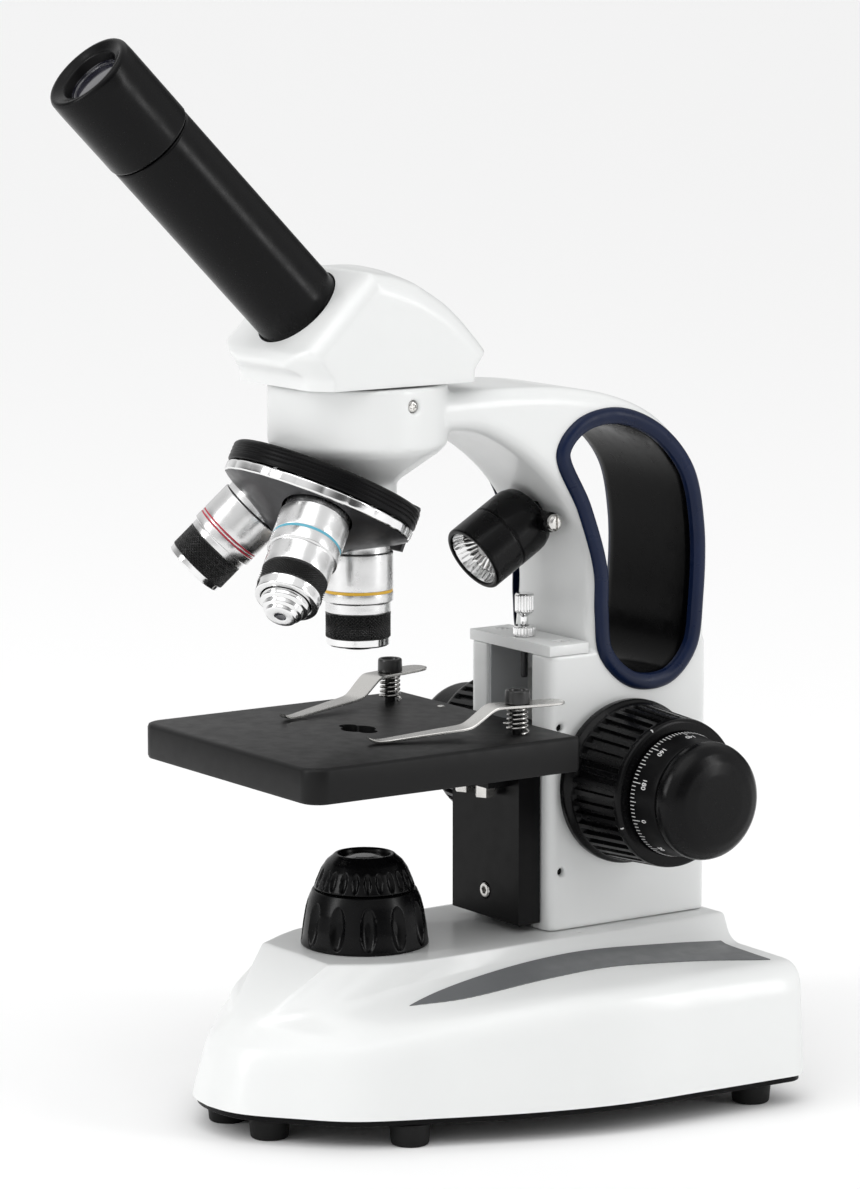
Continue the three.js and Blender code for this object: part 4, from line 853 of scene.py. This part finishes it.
for side, sign in (("left", -1), ("right", 1)):
    place = OPTICAL @ moved(32 * sign, 32.4, 0) @ turned(-13 * sign, "Z")
    piece(f"clip_blade_{side}", leaf_shape(), STEEL, f"clip_leaf_{side}", place,
          replaces=f"clip_leaf_{side}")
    button = rounded([(0, 121.9), (2.2, 121.9), (2.4, 123.1), (3.2, 123.2), (3.5, 122.8), (3.6, 119.4),
                      (3.2, 119.25), (1.5, 119.25), (1.5, 110), (0, 110)], 0.3)
    piece(f"clip_button_{side}", lathe(button, 72), KNURL, f"clip_post_{side}", place,
          replaces=f"clip_cap_{side}")
    coil = [Vector((r * math.cos(t), r * math.sin(t), z)) for r, t, z in
            ((2.7 + 0.35 * smoothstep(0.25, 0, k / 200), 2 * math.pi * 5.2 * k / 200,
              110.95 + 7.0 * (0.06 * min(1, k / 20) + 0.94 * k / 200)) for k in range(201))]
    piece(f"clip_coil_{side}", swept(coil, 0.36), STEEL, f"clip_leaf_{side}", place,
          replaces=f"clip_spring_{side}")


# ---------------------------------------------------------------- focus knobs
COARSE_SLOTS = 40


def slotted(angle, r, z):
    if 26.4 < z < 44.6 and r > 15:
        part = (angle * COARSE_SLOTS / (2 * math.pi)) % 1
        wall = smoothstep(0.2, 0.27, part) * (1 - smoothstep(0.73, 0.8, part))
        ends = smoothstep(26.4, 26.9, z) * (1 - smoothstep(44.1, 44.6, z))
        r -= 1.15 * wall * ends
    return r, z


coarse = rounded([(2.6, 21.5), (23.4, 21.5), (24, 22.1), (24, 24.3), (23.2, 25.2), (22.7, 26), (22.2, 35),
                  (21.6, 45), (21.3, 46.1), (20.6, 46.5), (17.6, 46.5), (17.4, 45.6), (2.6, 45.6)], 0.5)
COARSE = lathe(finer(coarse, 0.6), 400, slotted)
piece("coarse_grip_right", COARSE, GLOSS, "coarse_focus", FOCUS, replaces="coarse_knob_right",
      sharp=50)
piece("coarse_grip_left", COARSE, GLOSS, "coarse_focus", FOCUS @ turned(180, "X"),
      replaces="coarse_knob_left", sharp=50)
dial = lathe(rounded([(2.6, 46.85), (17.6, 46.85), (17.9, 47.2), (17.6, 50), (16.9, 54), (16.4, 56.8),
                      (2.6, 56.8)], 0.4), 128)
piece("dial_ring", dial, SATIN, "fine_focus", FOCUS, replaces="fine_dial")
fine = rounded([(0, 56.9), (15.6, 56.9), (16.6, 57.5), (16.95, 58.6), (16.9, 60.2), (16.2, 62.2),
                (14.6, 63.8), (12, 65), (8, 65.6), (0, 65.9)], 0.8, 5)
piece("fine_grip_right", lathe(fine, 128), GLOSS, "fine_focus", FOCUS, replaces="fine_knob_right")
fine_left = rounded([(2.4, 46.9), (16.2, 46.9), (16.6, 47.4), (16.9, 58.6), (16.9, 60.2), (16.2, 62.2),
                     (14.6, 63.8), (12, 65), (8, 65.6), (0, 65.9)], 0.8, 5)
piece("fine_grip_left", lathe(fine_left, 128), GLOSS, "fine_focus", FOCUS @ turned(180, "X"),
      replaces="fine_knob_left")


def dial_marks():
    shapes = []
    for k in range(100):
        length = 2.9 if k % 10 == 0 else (2.1 if k % 5 == 0 else 1.4)
        angle = 360 * k / 100
        mark = block((17.72, -0.1, 47.7), (17.95, 0.1, 47.7 + length))
        lean = moved(17.8, 0, 47.7) @ turned(-8, "Y") @ moved(-17.8, 0, -47.7)
        shapes.append(placed(mark, turned(angle, "Z") @ lean))
    return joined(*shapes)


piece("dial_marks", dial_marks(), WHITE_MARK, "fine_focus", FOCUS)


def dial_numbers():
    shapes = []
    for k in range(10):
        data = bpy.data.curves.new("figure", "FONT")
        data.body, data.size, data.align_x = str(k * 20), 2.2, "CENTER"
        data.extrude = 0.05
        holder = added("figure", data)
        bpy.context.view_layer.update()
        mesh = bpy.data.meshes.new_from_object(holder.evaluated_get(bpy.context.evaluated_depsgraph_get()))
        centre = 2 * math.pi * (k - 2) / 10
        points = []
        for v in mesh.vertices:
            z = 51.3 + v.co.y
            r = 17.62 - (z - 50) * 0.18 + v.co.z
            a = centre + v.co.x / 17.3
            points.append((r * math.cos(a), r * math.sin(a), z))
        shapes.append((points, [list(f.vertices) for f in mesh.polygons], [0] * len(mesh.polygons)))
        bpy.data.objects.remove(holder)
    return joined(*shapes)


piece("dial_figures", dial_numbers(), WHITE_MARK, "fine_focus", FOCUS)
for k, angle in enumerate((206, 292)):
    piece(f"knob_index_{k}", placed(block((20.2, -0.16, 45.2), (21.42, 0.16, 46.4)), turned(angle, "Z")),
          WHITE_MARK, "coarse_focus", FOCUS)


# ---------------------------------------------------------------- viewing head
def head_outline():
    top = spline([(31.4, 213.2), (30.3, 216.3), (26.4, 221.2), (17.1, 230.0), (6.7, 236.3)], 40)
    face = [Vector((6.7 - 3.7 * k, 236.3 + 1.25 * k)) for k in range(1, 4)]
    rest = [Vector((y, z)) for y, z in ((-9.5, 241.6), (-16, 235.2), (-22.5, 228.7), (-28.5, 222.9),
                                        (-31.8, 219.9))]
    low = spline([(-33.0, 217.9), (-32.6, 216.2), (-30.2, 214.6), (-28.6, 213.2), (-28.0, 211),
                  (-28.0, 206)], 24)
    return [(p.x, p.y) for p in [*top, *face, *rest, *low, Vector((0, 206)), Vector((31.4, 206))]]


HEAD_HALF_WIDTH = 23.5
HEAD_STRIPS = 12


def crowned(p):
    """Raises the top of the head towards its middle."""
    over = max(0.0, 1 - (p.x / HEAD_HALF_WIDTH) ** 2)
    behind_face = smoothstep(-9.5, 2, p.y) * (1 - smoothstep(20, 31, p.y))
    return Vector((p.x, p.y, p.z + 3.6 * over * smoothstep(216, 240, p.z) * behind_face))


head = raw("head_cover", slab(head_outline(), HEAD_HALF_WIDTH, 4.5, 6))
work = bmesh.new()
work.from_mesh(head.data)
for k in range(1, HEAD_STRIPS):
    x = HEAD_HALF_WIDTH * (2 * k / HEAD_STRIPS - 1)
    bmesh.ops.bisect_plane(work, geom=work.verts[:] + work.edges[:] + work.faces[:], plane_co=(x * MM, 0, 0),
                           plane_no=(1, 0, 0))
work.to_mesh(head.data)
work.free()
for vertex in head.data.vertices:
    vertex.co = crowned(vertex.co / MM) * MM
keeper = lathe([(0, 200), (32.6, 200), (32.9, 213), (36.2, 218.5), (38, 226), (40, 256), (0, 256)], 180)
boolean(head, "INTERSECT", raw("head_round", keeper))
cast(head, 0.6, 7)
cut(head, (block((-60, -60, 190), (60, 60, 209.7)), OPTICAL), (rod(13.25, 20, 60, 96), TUBE))
adopt(head, [PAINT], "head", "viewing_head")
smooth(head, 40)
piece("head_spigot", lathe(rounded([(0, 203.3), (15.2, 203.3), (15.7, 203.8), (15.7, 209.9), (0, 209.9)],
                                   0.4), 96), STEEL, "head")
piece("head_lock_screw", crosshead(1.65, 24.7, 1.0, 0.35), STEEL, "stand",
      OPTICAL @ moved(*DRUM_SCREW) @ turned(90, "Y"))
for number, (y, z) in enumerate(SIDE_HOLES):
    for side, turn in (("right", 90), ("left", -90)):
        piece(f"side_hole_{number}_{side}", lathe([(0, 18.2), (1.2, 18.3), (1.55, 18.8), (1.55, 16),
                                                   (0, 16)], 32), DARK, "stand",
              OPTICAL @ moved(0, y, z) @ turned(turn, "Y"))
tube = rounded([(11.6, 21), (12.9, 21), (12.9, 28.4), (12.65, 29), (12.65, 94.3), (12.2, 94.8), (11.7, 94.8),
                (11.6, 93)], 0.3)
piece("draw_tube", lathe(tube, 128), GLOSS, "head", TUBE, replaces="viewing_tube")
eye = rounded([(0, 118.6, 1), (6.2, 118.3, 1), (7.4, 117.9, 1), (7.6, 118.6, 2), (8.6, 120.9, 0),
               (9.4, 121.2, 0), (11.4, 122.3, 0), (12.2, 122.2, 0), (12.85, 121.3, 0), (13.0, 118, 0),
               (12.95, 95.7, 0), (12.5, 95.1, 0), (11.35, 95.1, 2), (11.3, 71, 0), (9.8, 71, 0),
               (9.8, 116, 0), (0, 116, 0)], 0.5)
piece("eye_tube", lathe(eye, 128), [GLOSS, LENS, SATIN], "eyepiece", TUBE,
      replaces=["eyepiece_barrel", "eyepiece_lens"])


# ---------------------------------------------------------------- nosepiece and objectives
plate_profile = [(11.3, -22.5), (26.9, -22.5), (27.7, -23.2)]
for groove in (-24.2, -25.4, -26.6):
    plate_profile += [(27.9, groove + 0.25), (27.6, groove), (27.9, groove - 0.25)]
plate_profile = rounded([*plate_profile, (27.9, -28.0), (27.5, -28.4), (11.3, -28.4)], 0.3)
piece("turret_plate", lathe(plate_profile, 160), SATIN, "stand", TURRET, replaces="turret_mount",
      sharp=45)


def facets(angle, r, z):
    if r > 27 and z < -28.5:
        part = ((angle * 22 / (2 * math.pi)) % 1 - 0.5) * 2
        r -= 0.3 * part * part
    return r, z


cone_profile = rounded([(0, -28.6, 1), (27.3, -28.6, 1), (27.85, -29.0, 1), (27.85, -31.3, 1),
                        (27.4, -31.7, 0), (24.8, -33.4, 0), (9.2, -42.4, 0), (0, -43, 0)], 0.35)
turret = raw("turret_cone", lathe(finer(cone_profile, 0.8), 360, facets), TURRET)
objective_frames = {}
for power, turn in (("10x", 0), ("40x", -120), ("4x", 120)):
    objective_frames[power] = TURRET @ turned(turn, "Z") @ turned(TURRET_TILT, "X")
    cut(turret, (rod(10.15, -60, -26.5, 96), objective_frames[power]))
adopt(turret, [DARK_METAL, CHROME], "nosepiece", "turret_disc")
for face in turret.data.polygons:
    centre = face.center / MM
    face.material_index = 1 if math.hypot(centre.x, centre.y) > 26.6 and centre.z > -31.6 else 0
smooth(turret, 45)
lug = [[(-w, 24.5, z), (-w, r - 0.8, z), (-w + 0.8, r, z), (w - 0.8, r, z), (w, r - 0.8, z), (w, 24.5, z)]
       for z, w, r in ((-22.3, 6.2, 28.6), (-20.6, 6.2, 28.8), (-20.0, 5.8, 28.4))]
piece("detent_block", lofted(lug), SATIN, "stand", TURRET, sharp=40)
leaf = [[(-w, r, z), (w, r, z), (w, r + 0.9, z), (-w, r + 0.9, z)]
        for r, z, w in ((27.6, -19.9, 5.2), (28.4, -20.0, 5.4), (28.8, -20.6, 5.4), (28.95, -24, 5.4),
                        (28.3, -29, 5.2), (28.5, -31, 4.8), (29.0, -33.4, 4.2))]
piece("detent_spring", lofted(leaf), DARK_METAL, "stand", TURRET, sharp=40)
piece("detent_rivet", placed(lathe(rounded([(0, 30.9), (1.2, 30.8), (1.9, 30.2), (1.9, 29.4), (0, 29.4)],
                                           0.3), 40), moved(0, 0, -23.2) @ turned(-90, "X")), STEEL, "stand",
      TURRET)


KNURL_ROWS, KNURL_COLUMNS, KNURL_DEPTH = 7, 52, 0.6


def diamonds(low, high):
    """Cross-cut knurling between two heights."""
    def shape(angle, r, z):
        if low < z < high and r > 7.4:
            u = angle * KNURL_COLUMNS / (2 * math.pi)
            v = (z - low) / (high - low) * KNURL_ROWS
            a = abs(((u + v) % 1) - 0.5) * 2
            b = abs(((u - v) % 1) - 0.5) * 2
            fade = smoothstep(low, low + 0.35, z) * (1 - smoothstep(high - 0.35, high, z))
            r -= KNURL_DEPTH * max(a, b) ** 1.2 * fade
        return r, z
    return shape


def objective(power, band, band_z, upper_end, low_knurl, high_knurl, lower, tail):
    """An objective's barrel. Its profile runs down from the shoulder, and heights count downwards."""
    profile = [(4.6, 30.9), (9.0, 30.9), (9.3, 31.3), (9.3, 42.0), (9.75, 42.15), (9.95, 42.45)]
    half = 0.42 if len(band_z) == 1 else 0.24
    for z in band_z:
        profile += [(9.95, z - half - 0.08), (9.8, z - half, 1), (9.8, z + half), (9.95, z + half + 0.08)]
    profile = rounded([*profile, (9.95, upper_end), *lower, *tail], 0.14, 2)
    out = []
    for a, b in zip(profile, profile[1:]):
        inside = a[1] >= low_knurl - 0.2 and b[1] <= high_knurl + 0.2 and a[0] > 7.4
        out += finer([(*a[:2], 4), b] if inside else [a, b], 0.12 if inside else 2.0)[:-1]
    points, faces, numbers = lathe([*out, profile[-1]], 448, diamonds(low_knurl, high_knurl))
    points = [(p[0], -p[1], -p[2]) for p in points]
    piece(f"barrel_{power}", (points, faces, numbers), [ALUMINIUM, band, CHROME, LENS, KNURL], "nosepiece",
          objective_frames[power], replaces=f"objective_{power}", sharp=40)


objective("10x", YELLOW, (53.1,), 56.0, 59.5, 66.3,
          [(9.3, 56.3), (9.2, 56.6), (9.2, 59.1), (8.7, 59.25), (8.7, 59.35), (9.3, 59.5), (9.3, 66.2),
           (8.95, 66.4, 2)],
          [(8.9, 68.4, 2), (8.4, 68.8, 2), (4.8, 68.85, 2), (4.5, 69.6, 2), (4.2, 69.7, 2), (2.9, 69.6, 4),
           (2.7, 68.9, 3), (0, 68.6, 3)])
objective("4x", RED, (51.2, 52.2), 54.6, 57.1, 64.3,
          [(9.3, 54.9), (9.2, 55.2), (9.2, 56.7), (8.7, 56.85), (8.7, 56.95), (9.3, 57.1), (9.3, 64.2),
           (8.95, 64.4, 2)],
          [(8.9, 65.9, 2), (8.5, 66.3, 2), (5.2, 66.3, 2), (4.9, 65.9, 4), (4.6, 64.2, 4), (4.5, 63.8, 3),
           (0, 63.3, 3)])
objective("40x", BLUE, (50.4,), 54.3, 61.4, 66.4,
          [(9.4, 54.6), (9.3, 54.9), (9.3, 61.0), (8.8, 61.15), (8.8, 61.25), (9.35, 61.4), (9.35, 66.3),
           (9.05, 66.5, 2)],
          [(9.0, 69.3, 2), (8.7, 69.6, 2), (7.5, 69.65, 2), (7.2, 69.6, 4), (7.2, 65.4, 4), (0, 65.4, 4)])
nose = rounded([(0, -68.0), (6.4, -68.0), (6.9, -68.4), (6.9, -71.2), (6.5, -71.6), (5.7, -71.8),
                (5.5, -73.1), (4.6, -73.5), (4.4, -74.5), (4.0, -74.8), (1.6, -74.8, 1), (1.3, -74.2, 1),
                (0, -74.1, 1)], 0.25)
piece("spring_nose", lathe(nose, 128), [CHROME, LENS], "objective_nose", objective_frames["40x"],
      replaces="objective_40x_nose")
piece("nose_set_screw", placed(lathe(rounded([(0, 9.9), (0.5, 9.9), (0.9, 9.7), (1.0, 9.2), (1.0, 8)], 0.1),
                                     32), moved(0, 0, -68) @ turned(90, "X")), STEEL, "nosepiece",
      objective_frames["40x"])


# ---------------------------------------------------------------- upper lamp
lamp_profile = rounded([(0, -2.5, 0), (7, -2.5, 0), (9.2, -1.2, 0), (10.1, 1.2, 0), (10.25, 3.5, 0),
                        (10.25, 10.2, 0), (9.95, 10.4, 0), (9.95, 10.7, 0), (10.25, 10.9, 0),
                        (10.25, 20.7, 0), (9.9, 21.1, 0), (8.9, 21.1, 0), (8.6, 20.6, 1), (7.2, 17.6, 1),
                        (4.6, 15.2, 1), (2.4, 14.4, 1), (2.4, 15.6, 2), (1.8, 17.0, 2), (0.8, 17.7, 2),
                        (0, 17.8, 2)], 0.4)


def rays(angle, r, z):
    if 2.6 < r < 8.4 and z > 14:
        z -= 0.35 * abs(math.sin(angle * 12))
    return r, z


piece("lamp_housing", lathe(finer(lamp_profile, 0.6), 288, rays), [GLOSS, CHROME, WHITE_MARK], "lamp", LAMP,
      replaces=["lamp_body", "lamp_reflector"])
ear = rounded([(0, 14.1), (2.2, 14.1), (2.9, 13.6), (3.0, 9.0), (3.0, 6), (0, 6)], 0.5, 4)
piece("lamp_ear", lathe(ear, 64), GLOSS, "lamp", LAMP_AXIS)
piece("lamp_ear_far", lathe(ear, 64), GLOSS, "lamp", LAMP_AXIS @ turned(180, "X"))


def screw_slot(angle, r, z):
    if z > 15.4 and r < 2.3 and abs(r * math.sin(angle)) < 0.38:
        z -= 0.6
    return r, z


head_profile = finer(rounded([(0, 16.1), (1.6, 16.0), (2.3, 15.5), (2.55, 14.6), (2.4, 14.2), (0, 14.2)],
                             0.2), 0.12)
piece("lamp_screw_head", lathe(head_profile, 96, screw_slot), STEEL, "lamp", LAMP_AXIS,
      replaces="lamp_screw", sharp=40)
